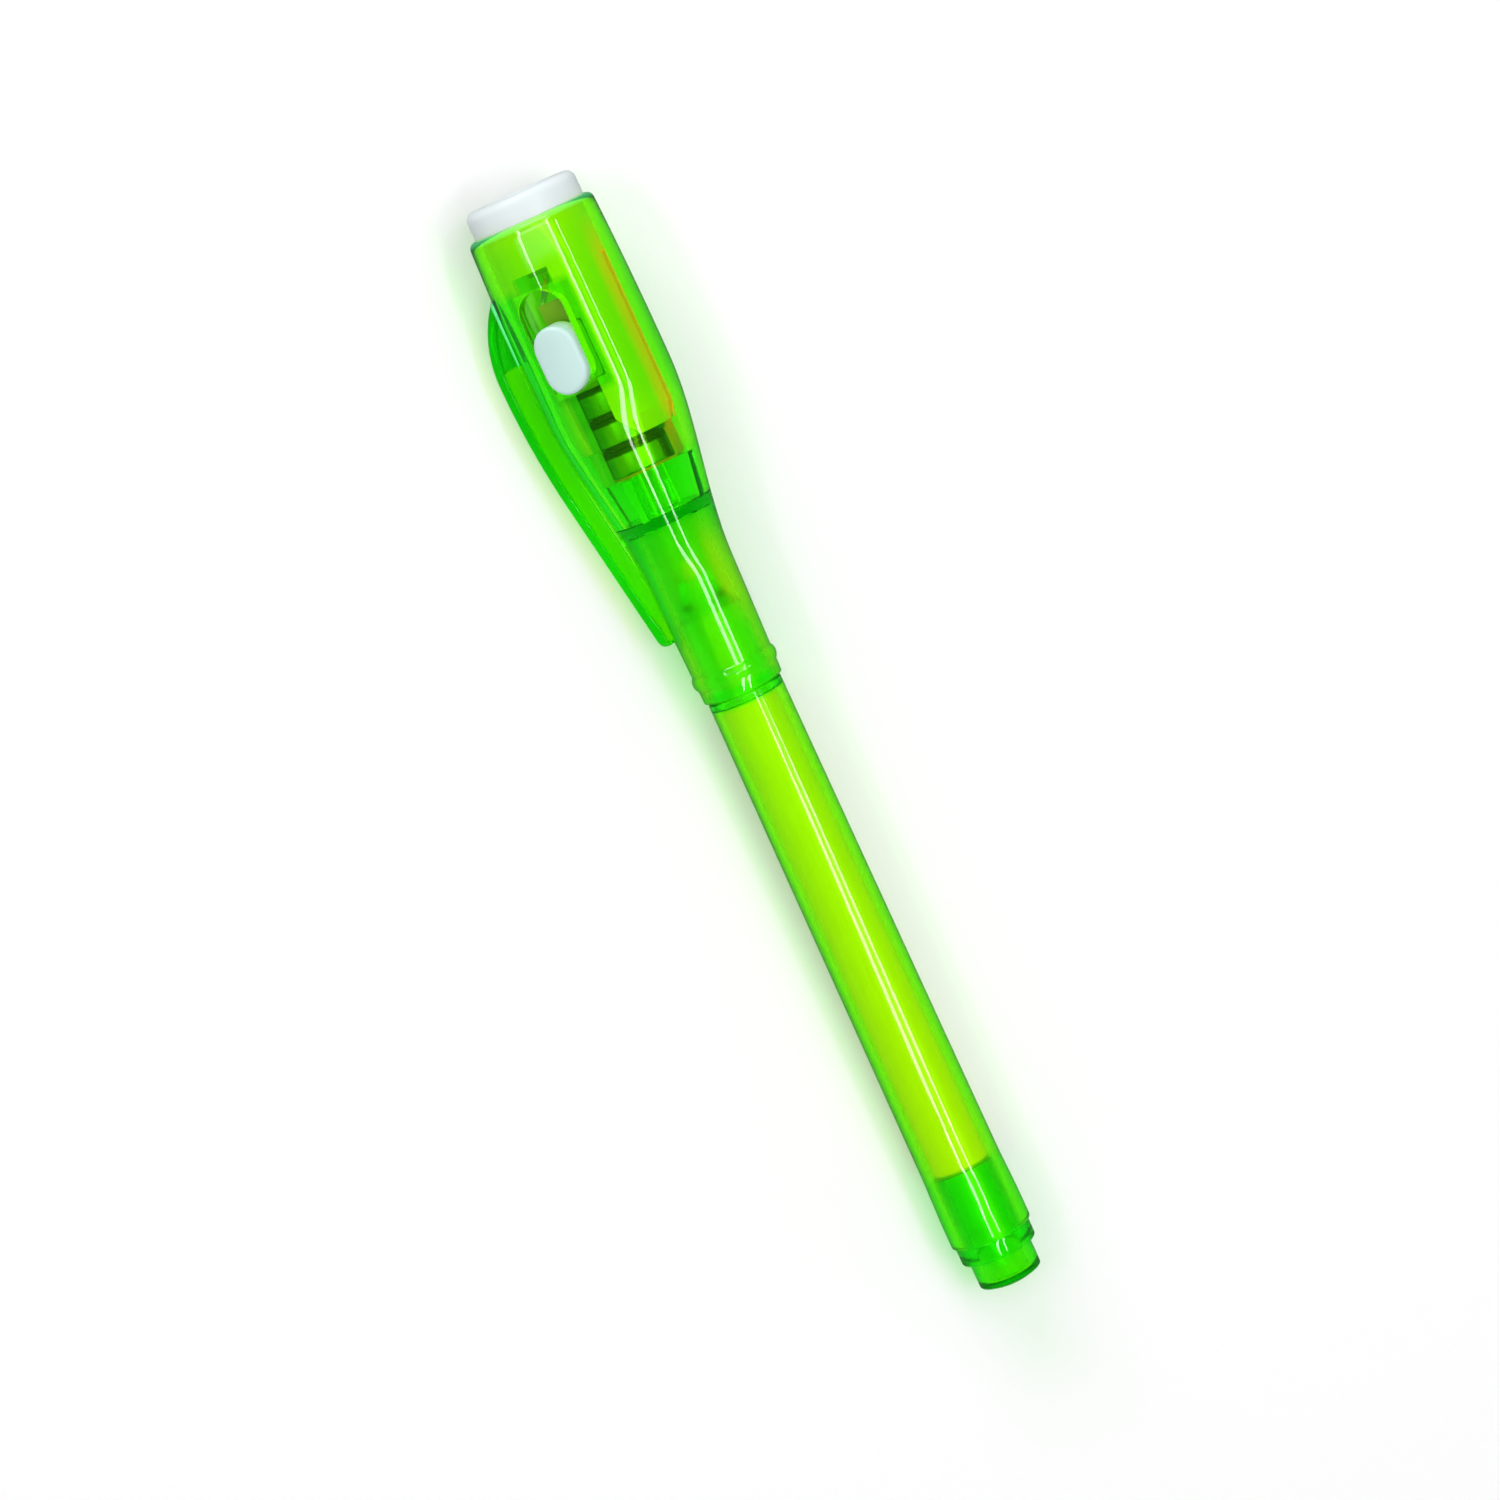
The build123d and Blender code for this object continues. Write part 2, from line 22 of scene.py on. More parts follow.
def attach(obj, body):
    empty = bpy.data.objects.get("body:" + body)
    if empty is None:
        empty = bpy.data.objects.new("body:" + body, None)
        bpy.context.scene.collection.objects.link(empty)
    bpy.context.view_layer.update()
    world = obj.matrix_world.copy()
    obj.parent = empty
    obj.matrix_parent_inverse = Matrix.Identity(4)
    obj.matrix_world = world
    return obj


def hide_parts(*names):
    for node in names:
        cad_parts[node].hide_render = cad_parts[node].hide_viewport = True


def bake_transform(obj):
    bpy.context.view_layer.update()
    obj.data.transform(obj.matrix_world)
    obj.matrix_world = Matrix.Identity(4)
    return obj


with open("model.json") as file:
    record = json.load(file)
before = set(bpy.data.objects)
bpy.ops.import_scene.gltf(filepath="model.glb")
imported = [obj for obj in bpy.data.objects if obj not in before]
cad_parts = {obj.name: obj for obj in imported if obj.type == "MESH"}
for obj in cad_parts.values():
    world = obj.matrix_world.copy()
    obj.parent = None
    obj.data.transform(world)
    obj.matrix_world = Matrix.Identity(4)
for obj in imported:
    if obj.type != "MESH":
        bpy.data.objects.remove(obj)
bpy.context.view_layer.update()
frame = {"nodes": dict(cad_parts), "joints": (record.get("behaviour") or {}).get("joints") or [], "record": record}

# %% [markdown]
# The pen's own directions
#
# The pen lies tilted and rolled over on its clip, so its parts are awkward to describe in the table's
# directions. The joints know better: the cap slides along the pen, and the button moves straight in. From
# these two come three directions: ahead to the light end, out through the button, and to the clip's side.
# Every shape below is worked out in millimetres along these, and placed on the table at the last moment.

# %% Pen directions
joints = {joint["name"]: joint for joint in frame["joints"]}
mounts = {mount["name"]: mount for mount in frame["record"]["mounts"]}
AHEAD = np.array(joints["cap_pull"]["axis"])
OUT = -np.array(joints["button_press"]["axis"])
CLIPWARD = np.cross(OUT, AHEAD)
BOSS_MIDDLE = 2.55
TAIL = np.array(mounts["tail_boss"]["pos_m"]) - AHEAD * BOSS_MIDDLE / 1000


def placed(points):
    """Pen points to metres on the table: the tail, plus x ahead, y to the clip's side and z out."""
    return TAIL + points @ np.stack([AHEAD, CLIPWARD, OUT]) / 1000


print("The pen's tail is at", TAIL.round(4), "and it points along", AHEAD.round(3))

# %% [markdown]
# Sizes
#
# These repeat the part's own sizes. x runs from the tail to the light end, and a radius is from the axis.

# %% Sizes in mm
X_BARREL, X_MOUTH, X_RIM, X_TOP = 6.2, 74.5, 131.9, 135.0
X_SKIRT_END, X_BORE_FRONT, X_SECTION_END, X_CONE_TIP = 14.7, 73.5, 84.2, 88.5
X_PARTITION, X_CAVITY, X_CAVITY_CONE = 95.4, 96.4, 107.5
X_CRADLE_END, X_STACK, X_CRADLE_TOP, X_LEAF, X_LED = 101.6, 101.9, 105.7, 112.95, 125.8
X_BUTTON, X_LEAF_TIP = 116.6, 122.75
BORE_TAIL, BORE_FRONT, CAP_BORE, CAP_BORE_DRAFT = 3.55, 3.42, 3.93, 0.023
NECK_MOUTH, NECK_END, BELLY, RIM, MODULE_BORE = 4.70, 5.04, 7.82, 7.4, 6.2
NECK_STATION, BELLY_STATION, CAP_LENGTH = 14.4, 37.5, 57.4
CELL_RADIUS, CELL_HEIGHT, CELL_CAN_HEIGHT = 3.95, 3.6, 3.1
FLANGE_TOP, FLANGE_BOTTOM = 5.316, 4.516


def blend_curve(start, start_handle, end_handle, end, share):
    """A cubic curve: the four values weighted by (1-t)^3, 3(1-t)^2 t, 3(1-t) t^2 and t^3."""
    rest = 1 - share
    first_half = rest**3 * start + 3 * rest**2 * share * start_handle
    return first_half + 3 * rest * share**2 * end_handle + share**3 * end


def cap_radius(station):
    """The cap's outer radius: a straight neck, a cubic swell to the belly, then a shallow arc to the rim."""
    span = BELLY_STATION - NECK_STATION
    slope = (NECK_END - NECK_MOUTH) / NECK_STATION
    share = np.clip((station - NECK_STATION) / span, 0, 1)
    swell = blend_curve(NECK_END, NECK_END + slope * span / 3, BELLY, BELLY, share)
    fall = (BELLY - RIM) * (np.clip(station - BELLY_STATION, 0, None) / (CAP_LENGTH - BELLY_STATION)) ** 2
    return np.where(station < NECK_STATION, NECK_MOUTH + slope * station, swell - fall)


def bore_radius(x):
    """The barrel's drafted bore, straight from its tail to its front."""
    return BORE_TAIL + (x - X_BARREL) / (X_BORE_FRONT - X_BARREL) * (BORE_FRONT - BORE_TAIL)


def cavity_radius(x):
    """The cap's upper cavity: a cone that opens into the lamp holder's straight bore."""
    foot = cap_radius(X_CAVITY - X_MOUTH) - (RIM - MODULE_BORE)
    return np.minimum(MODULE_BORE, foot + (x - X_CAVITY) / (X_CAVITY_CONE - X_CAVITY) * (MODULE_BORE - foot))


def cap_bore_radius(x):
    """The cap's lower bore, which grips the writing section."""
    return CAP_BORE - CAP_BORE_DRAFT * (x - X_MOUTH)


print("Belly across:", 2 * BELLY, "mm; neck across:", 2 * NECK_MOUTH, "mm")

# %% [markdown]
# From numbers to meshes
#
# Every piece below is a grid of points: rings along one direction, places round the ring along the other.
# One function joins neighbours into quads, another makes the mesh, closes its seams and poles by merging
# doubled points, turns its faces outwards and marks the edges that should stay crisp.

# %% Mesh helpers
MERGE_DISTANCE = 2e-7
CREASE = math.radians(32)


def quads(rows, columns, close_rows=False, close_columns=True):
    """Corner numbers of a grid's cells: (i, j), (i, j+1), (i+1, j+1), (i+1, j), wrapped where it closes."""
    i = np.arange(rows if close_rows else rows - 1)[:, None]
    j = np.arange(columns if close_columns else columns - 1)[None, :]
    next_i, next_j = (i + 1) % rows, (j + 1) % columns
    corners = (i * columns + j, i * columns + next_j, next_i * columns + next_j, next_i * columns + j)
    return np.stack(np.broadcast_arrays(*corners), axis=-1).reshape(-1, 4)


def crisp(mesh):
    """Smooth shading, with the edges that turn by more than the crease angle left sharp."""
    mesh.shade_smooth()
    mesh.set_sharp_from_angle(angle=CREASE)


def make(name, points, faces):
    """An object from pen points and faces, with doubles merged and faces turned outwards."""
    mesh = bpy.data.meshes.new(name)
    mesh.from_pydata(placed(points.reshape(-1, 3)), [], faces)
    cleaned = bmesh.new()
    cleaned.from_mesh(mesh)
    bmesh.ops.remove_doubles(cleaned, verts=cleaned.verts, dist=MERGE_DISTANCE)
    bmesh.ops.recalc_face_normals(cleaned, faces=cleaned.faces)
    cleaned.to_mesh(mesh)
    cleaned.free()
    crisp(mesh)
    piece = bpy.data.objects.new(name, mesh)
    bpy.context.collection.objects.link(piece)
    return piece


def ringed(name, rings):
    """A closed skin over rings of points; a first or last ring that shrinks to a point closes its end."""
    return make(name, rings, quads(rings.shape[0], rings.shape[1]))


def capped(rings):
    """Rings with one more at each end, shrunk to that end's middle, so that the skin closes."""
    ends = rings[[0, -1]].mean(axis=1, keepdims=True) + 0 * rings[[0, -1]]
    return np.concatenate([ends[:1], rings, ends[1:]])


def turned(name, profile, closed=False, places=144):
    """A profile of x and radius carried round the axis: x, r cos a, r sin a."""
    angle = np.linspace(0, 2 * np.pi, places, endpoint=False)
    x, radius = profile[:, :1], profile[:, 1:]
    points = np.stack([x + 0 * angle, radius * np.cos(angle), radius * np.sin(angle)], axis=-1)
    return make(name, points, quads(len(profile), places, close_rows=closed))


def outline(corners, steps=6):
    """A line through corners of x, radius and rounding. A rounded corner becomes an arc that touches both its
    sides: its centre is on the bisector, the rounding over sin(half the angle) away, and its points are
    (sin((1-t)T) start + sin(tT) end) / sin(T) from there, with T the angle it turns by."""
    corners = np.array(corners, float)
    share = np.linspace(0, 1, steps + 1)[:, None]
    line = []
    for here, before, after in zip(corners, np.roll(corners, 1, 0), np.roll(corners, -1, 0)):
        point, size = here[:2], here[2]
        if size == 0:
            line.append(point[None])
            continue
        back, on = before[:2] - point, after[:2] - point
        back, on = back / np.linalg.norm(back), on / np.linalg.norm(on)
        half = math.acos(back @ on) / 2
        centre = point + (back + on) / np.linalg.norm(back + on) * size / math.sin(half)
        start, end = (point + side * size / math.tan(half) - centre for side in (back, on))
        turn = math.pi - 2 * half
        arc = np.sin((1 - share) * turn) * start + np.sin(share * turn) * end
        line.append(centre + arc / math.sin(turn))
    return np.concatenate(line)


def plain(points):
    """Points of x and radius as unrounded corners."""
    return np.column_stack([points, np.zeros(len(points))])


def blocks(name, x_range, y_range, z_range):
    """A box between limits, as two square rings with closed ends."""
    square = [(y_range[i], z_range[j]) for i, j in ((0, 0), (1, 0), (1, 1), (0, 1))]
    return ringed(name, capped(np.array([[(x, *corner) for corner in square] for x in x_range], float)))


def worked(piece, others, operation):
    """The piece joined with or cut by other closed pieces, which are then gone."""
    for other in others:
        step = piece.modifiers.new(other.name, "BOOLEAN")
        step.operation, step.solver, step.object = operation, "EXACT", other
    shape = bpy.data.meshes.new_from_object(piece.evaluated_get(bpy.context.evaluated_depsgraph_get()))
    shape.name = piece.name
    piece.modifiers.clear()
    piece.data = shape
    for other in others:
        bpy.data.objects.remove(other)
    crisp(shape)
    return piece


def goes_on(piece, body, slot, *nodes):
    """Puts a piece on the body it moves with and hides the CAD nodes it stands for. The slot is not used."""
    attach(piece, body)
    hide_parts(*nodes)
    print(f"{piece.name}: {len(piece.data.polygons)} faces, on {body}")
    return piece


# %% [markdown]
# The barrel
#
# A drafted tube with a slight flare at its tail, a shoulder that meets the cap's mouth, and the writing
# section with its nib cone. It could be a few cylinders, but clear plastic shows its inside as well, so the
# profile goes up the outside and back down the bore as one closed loop.

# %% Barrel
BARREL_TAIL, BARREL_MIDDLE, BARREL_FRONT = 4.82, 4.65, 4.37
SECTION_FOOT, SECTION_FRONT, SECTION_BORE = 3.87, 3.6469, 2.6469
CONE_FOOT, CONE_TIP, NIB_HOLE = 3.2969, 1.65, 0.93
FLARE_X = (8.2, 10.87, 13.53, 16.2)
flare_points = np.column_stack([FLARE_X, (BARREL_TAIL, BARREL_TAIL, BARREL_MIDDLE, BARREL_MIDDLE)])
flare_line = blend_curve(*flare_points, np.linspace(0, 1, 16)[:, None])
barrel_profile = outline(
    [
        (X_BARREL, BARREL_TAIL, 0.3),
        *plain(flare_line),
        (X_MOUTH, BARREL_FRONT, 0.3),
        (X_MOUTH, SECTION_FOOT, 0),
        (X_SECTION_END, SECTION_FRONT, 0.12),
        (X_SECTION_END, CONE_FOOT, 0.1),
        (X_CONE_TIP, CONE_TIP, 0.15),
        (X_CONE_TIP, NIB_HOLE, 0),
        (X_SECTION_END, NIB_HOLE, 0),
        (X_SECTION_END, SECTION_BORE, 0.2),
        (X_BORE_FRONT, SECTION_BORE, 0),
        (X_BORE_FRONT, BORE_FRONT, 0.15),
        (X_BARREL, BORE_TAIL, 0.12),
    ]
)
barrel = goes_on(turned("barrel_tube", barrel_profile, closed=True), "pen", "green_plastic", "barrel")

# %% [markdown]
# The tail plug
#
# A stepped plug closes the tail: a domed boss, a collar and a hollow skirt pressed into the barrel. Its two
# ends lie on the axis, so the profile is an open line whose first and last rings shrink to points. The dome
# is a circle's arc: x = R - sqrt(R^2 - r^2), with R worked out from the dome's width and height.

# %% Tail plug
PLUG_FIT, PLUG_WALL = 0.03, 0.9
BOSS_RADIUS, DOME_HEIGHT = 3.72, 0.8
X_COLLAR, COLLAR_RADIUS, X_HOLLOW = 4.0, 4.48, 1.2
skirt_radius = bore_radius(X_SKIRT_END) - PLUG_FIT
dome_size = (BOSS_RADIUS**2 + DOME_HEIGHT**2) / (2 * DOME_HEIGHT)
dome_reach = BOSS_RADIUS * np.linspace(0, 0.97, 12)
dome_line = np.column_stack([dome_size - np.sqrt(dome_size**2 - dome_reach**2), dome_reach])
plug_profile = outline(
    [
        *plain(dome_line[:-1]),
        (DOME_HEIGHT, BOSS_RADIUS, 0.3),
        (X_COLLAR, BOSS_RADIUS, 0.12),
        (X_COLLAR, COLLAR_RADIUS, 0.3),
        (X_BARREL, COLLAR_RADIUS, 0.1),
        (X_BARREL, BORE_TAIL - PLUG_FIT, 0),
        (X_SKIRT_END, skirt_radius, 0.1),
        (X_SKIRT_END, skirt_radius - PLUG_WALL, 0.1),
        (X_HOLLOW, skirt_radius - PLUG_WALL, 0.4),
        (X_HOLLOW, 0, 0),
    ]
)
plug = goes_on(turned("tail_plug_moulding", plug_profile), "pen", "green_plastic", "tail_plug")

# %% [markdown]
# Ink store, film and nib
#
# The store is a rod of bonded fibre in a thin film sleeve. It is cut from a longer rod, so its ends are
# flat with a soft edge, and a hole in its front takes the nib's root. The nib is a pressed fibre rod with a
# bullet point, which is a cubic curve here. Modelled threads would be lost behind the green wall, so all
# three are plain turned profiles, and the threads are left to the material.

# %% Ink store and nib
STORE_PLAY, STORE_RADIUS, FILM_GAP, FILM, NIB_GRIP = 0.2, 3.22, 0.01, 0.12, 8.0
STORE_TAIL, STORE_FRONT = X_SKIRT_END + STORE_PLAY, X_BORE_FRONT - STORE_PLAY
X_NIB_ROOT = STORE_FRONT - NIB_GRIP
store_profile = outline(
    [
        (STORE_TAIL, 0, 0),
        (STORE_TAIL, STORE_RADIUS, 0.35),
        (STORE_FRONT, STORE_RADIUS, 0.25),
        (STORE_FRONT, NIB_HOLE, 0),
        (X_NIB_ROOT, NIB_HOLE, 0),
        (X_NIB_ROOT, 0, 0),
    ]
)
store = goes_on(turned("ink_store_rod", store_profile), "pen", "fibre", "ink_reservoir")
film_corners = ((STORE_TAIL, FILM_GAP), (STORE_TAIL, FILM), (STORE_FRONT, FILM), (STORE_FRONT, FILM_GAP))
film_profile = outline([(x, STORE_RADIUS + gap, 0) for x, gap in film_corners])
film = goes_on(turned("ink_store_film", film_profile, closed=True), "pen", "clear_film", "reservoir_film")

NIB_TIP, NIB_POINT, NIB_RADIUS = X_CONE_TIP + 2.4, 1.8, 0.9
bullet_radius = np.array([NIB_RADIUS, NIB_RADIUS, NIB_RADIUS / 2, 0])
bullet_points = np.column_stack([(NIB_TIP - NIB_POINT, NIB_TIP, NIB_TIP, NIB_TIP), bullet_radius])
bullet = blend_curve(*bullet_points, np.linspace(0, 1, 12)[:, None])
nib_profile = outline([(X_NIB_ROOT, 0, 0), (X_NIB_ROOT, NIB_RADIUS, 0.15), *plain(bullet)])
nib = goes_on(turned("nib_fibre_rod", nib_profile, places=48), "pen", "nib_fibre", "nib")

# %% [markdown]
# The cap shell
#
# The shell is one moulding: a neck with a bead, a head that swells to a belly, a partition over the nib,
# stop ribs, an oval slot for the button and the pocket clip. Its wall goes round the axis like the
# barrel's, but the slot would leave a ragged hole in a plain grid. So a window of the grid is left out on
# both sides of the wall, and a second grid fills it: its rings run from the window's edge to the slot's
# outline, over a rounded lip, down through the wall and back out to the window in the bore.

# %% Cap shell wall
PLACES = 180
WINDOW_PLACES = 28
SLOT_MIDDLE, SLOT_LENGTH, SLOT_WIDTH = X_BUTTON + 2.0, 12.0, 5.3
WINDOW_X = np.linspace(X_BUTTON - 6.0, X_BUTTON + 10.0, 41)
LIP, MOUTH_GAP = 0.18, 0.1


def bead_radius(station):
    """The neck with its bead: a circle's arc, 0.3 high and 1.7 wide, on the neck's slope."""
    half_width, height, middle = 0.85, 0.3, 2.6
    size = (half_width**2 + height**2) / (2 * height)
    arc = np.sqrt(np.clip(size**2 - (station - middle) ** 2, 0, None)) - (size - height)
    return cap_radius(station) + np.clip(arc, 0, None)


above_window = np.linspace(X_RIM - 1.4, WINDOW_X[-1] + 0.4, 8)
below_window = np.linspace(WINDOW_X[0] - 0.4, X_MOUTH + 3.6, 70)
bead_x = X_MOUTH + np.linspace(3.45, 1.75, 15)
outside_x = np.concatenate([above_window, WINDOW_X[::-1], below_window])
mouth = X_MOUTH + MOUTH_GAP
shell_profile = outline(
    [
        (X_CAVITY, 0, 0),
        (X_CAVITY, cavity_radius(X_CAVITY), 0.3),
        (X_CAVITY_CONE, MODULE_BORE, 0),
        *plain(np.column_stack([WINDOW_X, np.full(len(WINDOW_X), MODULE_BORE)])),
        (X_RIM, MODULE_BORE, 0.15),
        (X_RIM, RIM, 0.8),
        *plain(np.column_stack([outside_x, cap_radius(outside_x - X_MOUTH)])),
        *plain(np.column_stack([bead_x, bead_radius(bead_x - X_MOUTH)])),
        (mouth, NECK_MOUTH, 0.3),
        (mouth, cap_bore_radius(mouth), 0.12),
        (X_PARTITION, cap_bore_radius(X_PARTITION), 0.4),
        (X_PARTITION, 0, 0),
    ]
)


def in_window(profile, radius_line):
    """The profile's row where the window starts, on the wall's side whose radius is given."""
    near = np.abs(profile[:, 0] - WINDOW_X[0]) + np.abs(profile[:, 1] - radius_line)
    return int(np.argmin(near))


inner_row = in_window(shell_profile, MODULE_BORE)
outer_row = in_window(shell_profile, cap_radius(WINDOW_X[0] - X_MOUTH)) - (len(WINDOW_X) - 1)
around = np.linspace(0, 2 * np.pi, PLACES, endpoint=False)
x_grid, r_grid = shell_profile[:, :1] + 0 * around, shell_profile[:, 1:] + 0 * around
wall = np.stack([x_grid, r_grid * np.sin(around), r_grid * np.cos(around)], axis=-1)
wall_faces = quads(len(shell_profile), PLACES)
face_row, face_place = np.divmod(np.arange(len(wall_faces)), PLACES)
near_button = (face_place < WINDOW_PLACES) | (face_place >= PLACES - WINDOW_PLACES)
rows = len(WINDOW_X) - 1
left_out = np.zeros(len(wall_faces), bool)
for first in (inner_row, outer_row):
    left_out |= (face_row >= first) & (face_row < first + rows) & near_button
kept_faces = wall_faces[~left_out]
print("Cap wall:", len(kept_faces), "faces, window of", left_out.sum(), "left out")

# %% [markdown]
# The slot's edge
#
# Each point of the window's edge is paired with the slot's outline by its direction from the slot's middle.
# The outline is an oval with straight sides, and where a ray from the middle meets it can be written down:
# the straight side if the ray leaves through it, and otherwise the end's circle.

# %% Slot edge
TINY = 1e-9


def oval_outline(direction, half_width, half_run):
    """Where rays from an oval's middle meet it: |y| = half the width on the straight sides, and
    (|x| - c)^2 + y^2 = (half the width)^2 on the ends, with c half the straight run."""
    unit = direction / np.linalg.norm(direction, axis=-1, keepdims=True)
    along, across = np.abs(unit[:, 0]), np.abs(unit[:, 1])
    to_side = half_width / np.maximum(across, TINY)
    to_end = along * half_run + np.sqrt(np.maximum(half_width**2 - (across * half_run) ** 2, 0))
    return unit * np.where(to_side * along <= half_run, to_side, to_end)[:, None]


def slot_outline(direction, grow):
    """The slot's outline, grown by an amount, where rays from its middle meet it."""
    return oval_outline(direction, SLOT_WIDTH / 2 + grow, (SLOT_LENGTH - SLOT_WIDTH) / 2)


def on_wall(plan, radius):
    """Plan points lifted to a round wall: height = sqrt(radius^2 - y^2)."""
    return np.sqrt(radius**2 - plan[:, 1] ** 2)


half_angle = WINDOW_PLACES * 2 * np.pi / PLACES
span = np.linspace(-half_angle, half_angle, 2 * WINDOW_PLACES + 1)
top_x, foot_x = (np.full(len(span) - 1, x) for x in (WINDOW_X[-1], WINDOW_X[0]))
first_angle, last_angle = (np.full(rows, end) for end in (span[0], span[-1]))
edge_x = np.concatenate([WINDOW_X[:-1], top_x, WINDOW_X[:0:-1], foot_x])
edge_angle = np.concatenate([first_angle, span[:-1], last_angle, span[:0:-1]])
middle = np.array([SLOT_MIDDLE, 0])


def outer_wall(plan):
    """The head's radius over plan points."""
    return cap_radius(plan[:, 0] - X_MOUTH)


def bore_wall(plan):
    """The bore's radius over plan points."""
    return np.full(len(plan), MODULE_BORE)


def spread(wall_radius, grow, shares):
    """Rings from the window's edge to the slot's outline, on a wall, at the given shares of the way."""
    radius = wall_radius(np.column_stack([edge_x, 0 * edge_x]))
    edge = np.column_stack([edge_x, radius * np.sin(edge_angle)])
    inner = middle + slot_outline(edge - middle, grow)
    rings = []
    for share in shares:
        plan = edge + (inner - edge) * share
        rings.append(np.column_stack([plan, on_wall(plan, wall_radius(plan))]))
    return np.stack(rings), inner


# The rings gather towards the slot, where the wall bends over its lip.
shares = 1 - (1 - np.linspace(0, 1, 15)) ** 1.4
outer_rings, outer_edge = spread(outer_wall, LIP, shares)
inner_rings, _ = spread(bore_wall, 0.0, shares)
bend = np.linspace(0, math.pi / 2, 7)[1:]
lip_rings = []
for turn in bend:
    plan = middle + slot_outline(outer_edge - middle, LIP * (1 - math.sin(turn)))
    top = on_wall(plan, outer_wall(plan))
    lip_rings.append(np.column_stack([plan, top - LIP * (1 - math.cos(turn))]))
slot_skin = np.concatenate([outer_rings, np.stack(lip_rings), inner_rings[::-1]])
shell_points = np.concatenate([wall.reshape(-1, 3), slot_skin.reshape(-1, 3)])
slot_faces = quads(*slot_skin.shape[:2]) + wall.size // 3
shell = make("cap_shell_moulding", shell_points, np.concatenate([kept_faces, slot_faces]))
loose = bmesh.new()
loose.from_mesh(shell.data)
open_edges = sum(edge.is_boundary for edge in loose.edges)
loose.free()
print("Cap shell with its slot:", len(shell.data.polygons), "faces,", open_edges, "open edges")

# %% [markdown]
# The pocket clip and the stop ribs
#
# The clip is a slab whose outer line rises from the tip, bows over a peak and dives into the head. Each
# station along it has a rounded oblong section: the outer line above, the underside below, the width
# across. Near the tip, the underside drops to a nub that grips a pocket's edge. Clip and ribs are then
# joined to the shell as one solid, because a moulding has no seams inside.

# %% Clip lines
TIP, NUB_FOOT, NUB_END, BEND, PEAK, GAP, ROOT, CLIP_FOOT = 7.7, 9.0, 11.6, 26.0, 41.5, 43.0, 51.0, 51.2
TIP_RISE, BEND_RISE, PEAK_RISE, BITE, NUB_GAP = 1.4, 3.0, 3.1, 0.7, 0.3
CLIP_THICKNESS, GAP_CORNER = 1.15, 0.45


def arc_drop(distance, reach, drop):
    """How far a circle that starts level has dropped at a distance, if it drops by `drop` at `reach`."""
    size = (reach**2 + drop**2) / (2 * drop)
    return size - np.sqrt(size**2 - np.clip(distance, 0, reach) ** 2)


def clip_top(station):
    """The clip's outer line: straight from tip to bend, an arc up to the peak, an arc down into the head."""
    marks = ((TIP, TIP_RISE), (BEND, BEND_RISE), (PEAK, PEAK_RISE), (CLIP_FOOT, -BITE))
    tip, turn, peak, foot = (float(cap_radius(mark) + rise) for mark, rise in marks)
    straight = tip + (station - TIP) / (BEND - TIP) * (turn - tip)
    bow = peak - arc_drop(PEAK - station, PEAK - BEND, peak - turn)
    dive = peak - arc_drop(station - PEAK, CLIP_FOOT - PEAK, peak - foot)
    return np.where(station < BEND, straight, np.where(station < PEAK, bow, dive))


def clip_under(station):
    """The underside: a nub near the tip, the blade's back, and a root sunk into the head."""
    back = clip_top(np.minimum(station, PEAK)) - CLIP_THICKNESS
    nub_low = cap_radius(station) + NUB_GAP
    ease = np.clip((station - NUB_FOOT) / (NUB_END - NUB_FOOT), 0, 1)
    ease = ease * ease * (3 - 2 * ease)
    under = nub_low + (back - nub_low) * ease
    sunk = np.clip((station - GAP + GAP_CORNER) / GAP_CORNER, 0, 1)
    corner = back - GAP_CORNER * (1 - np.sqrt(1 - sunk**2))
    root = cap_radius(station) - BITE
    return np.where(station >= GAP, root, np.minimum(under, corner))


print("Clip's peak:", round(float(clip_top(PEAK)), 2), "mm off the axis")

# %% Pocket clip
CLIP_ROUND, UNDER_ROUND, TIP_CORNER = 0.4, 0.25, 1.15
TIP_HALF_WIDTH, WIDENING, MOST_ROUND = 2.1, 0.5, 0.48
near_tip = TIP + CLIP_ROUND * (1 - np.cos(np.linspace(0, math.pi / 2, 9)))
# The stations lie closer where the clip turns: at the tip, over the nub and at the gap's corner.
stations = np.concatenate(
    [
        near_tip,
        np.linspace(8.2, NUB_END + 0.6, 24),
        np.linspace(12.8, BEND - 1, 20),
        np.linspace(BEND - 0.5, GAP - 0.5, 44),
        np.linspace(GAP - 0.44, GAP - 0.001, 9),
        np.linspace(GAP, ROOT, 30),
    ]
)
inset = stations - TIP
width = TIP_HALF_WIDTH + WIDENING * inset / (CLIP_FOOT - TIP)
corner_gap = np.clip(TIP_CORNER - inset, 0, None)
width = width - TIP_CORNER + np.sqrt(TIP_CORNER**2 - corner_gap**2)
round_gap = np.clip(CLIP_ROUND - inset, 0, None)
shrink = CLIP_ROUND - np.sqrt(CLIP_ROUND**2 - round_gap**2)
top, under = clip_top(stations) - shrink, clip_under(stations) + shrink
outer_round = np.minimum(CLIP_ROUND, MOST_ROUND * (top - under))
under_round = np.minimum(UNDER_ROUND, MOST_ROUND * (top - under))
corner_turn = np.linspace(0, math.pi / 2, 7)
section = []
for side, is_top, start in ((1, True, 0), (-1, True, 1), (-1, False, 2), (1, False, 3)):
    size = (outer_round if is_top else under_round)[:, None]
    level = (top if is_top else under)[:, None] - size * (1 if is_top else -1)
    angle = corner_turn + start * math.pi / 2
    across = side * (width[:, None] - size) + size * np.cos(angle)
    section.append(np.stack([level + size * np.sin(angle), across], axis=-1))
section = np.concatenate(section, axis=1)
rings = np.concatenate([X_MOUTH + stations[:, None, None] + 0 * section[..., :1], section], axis=-1)
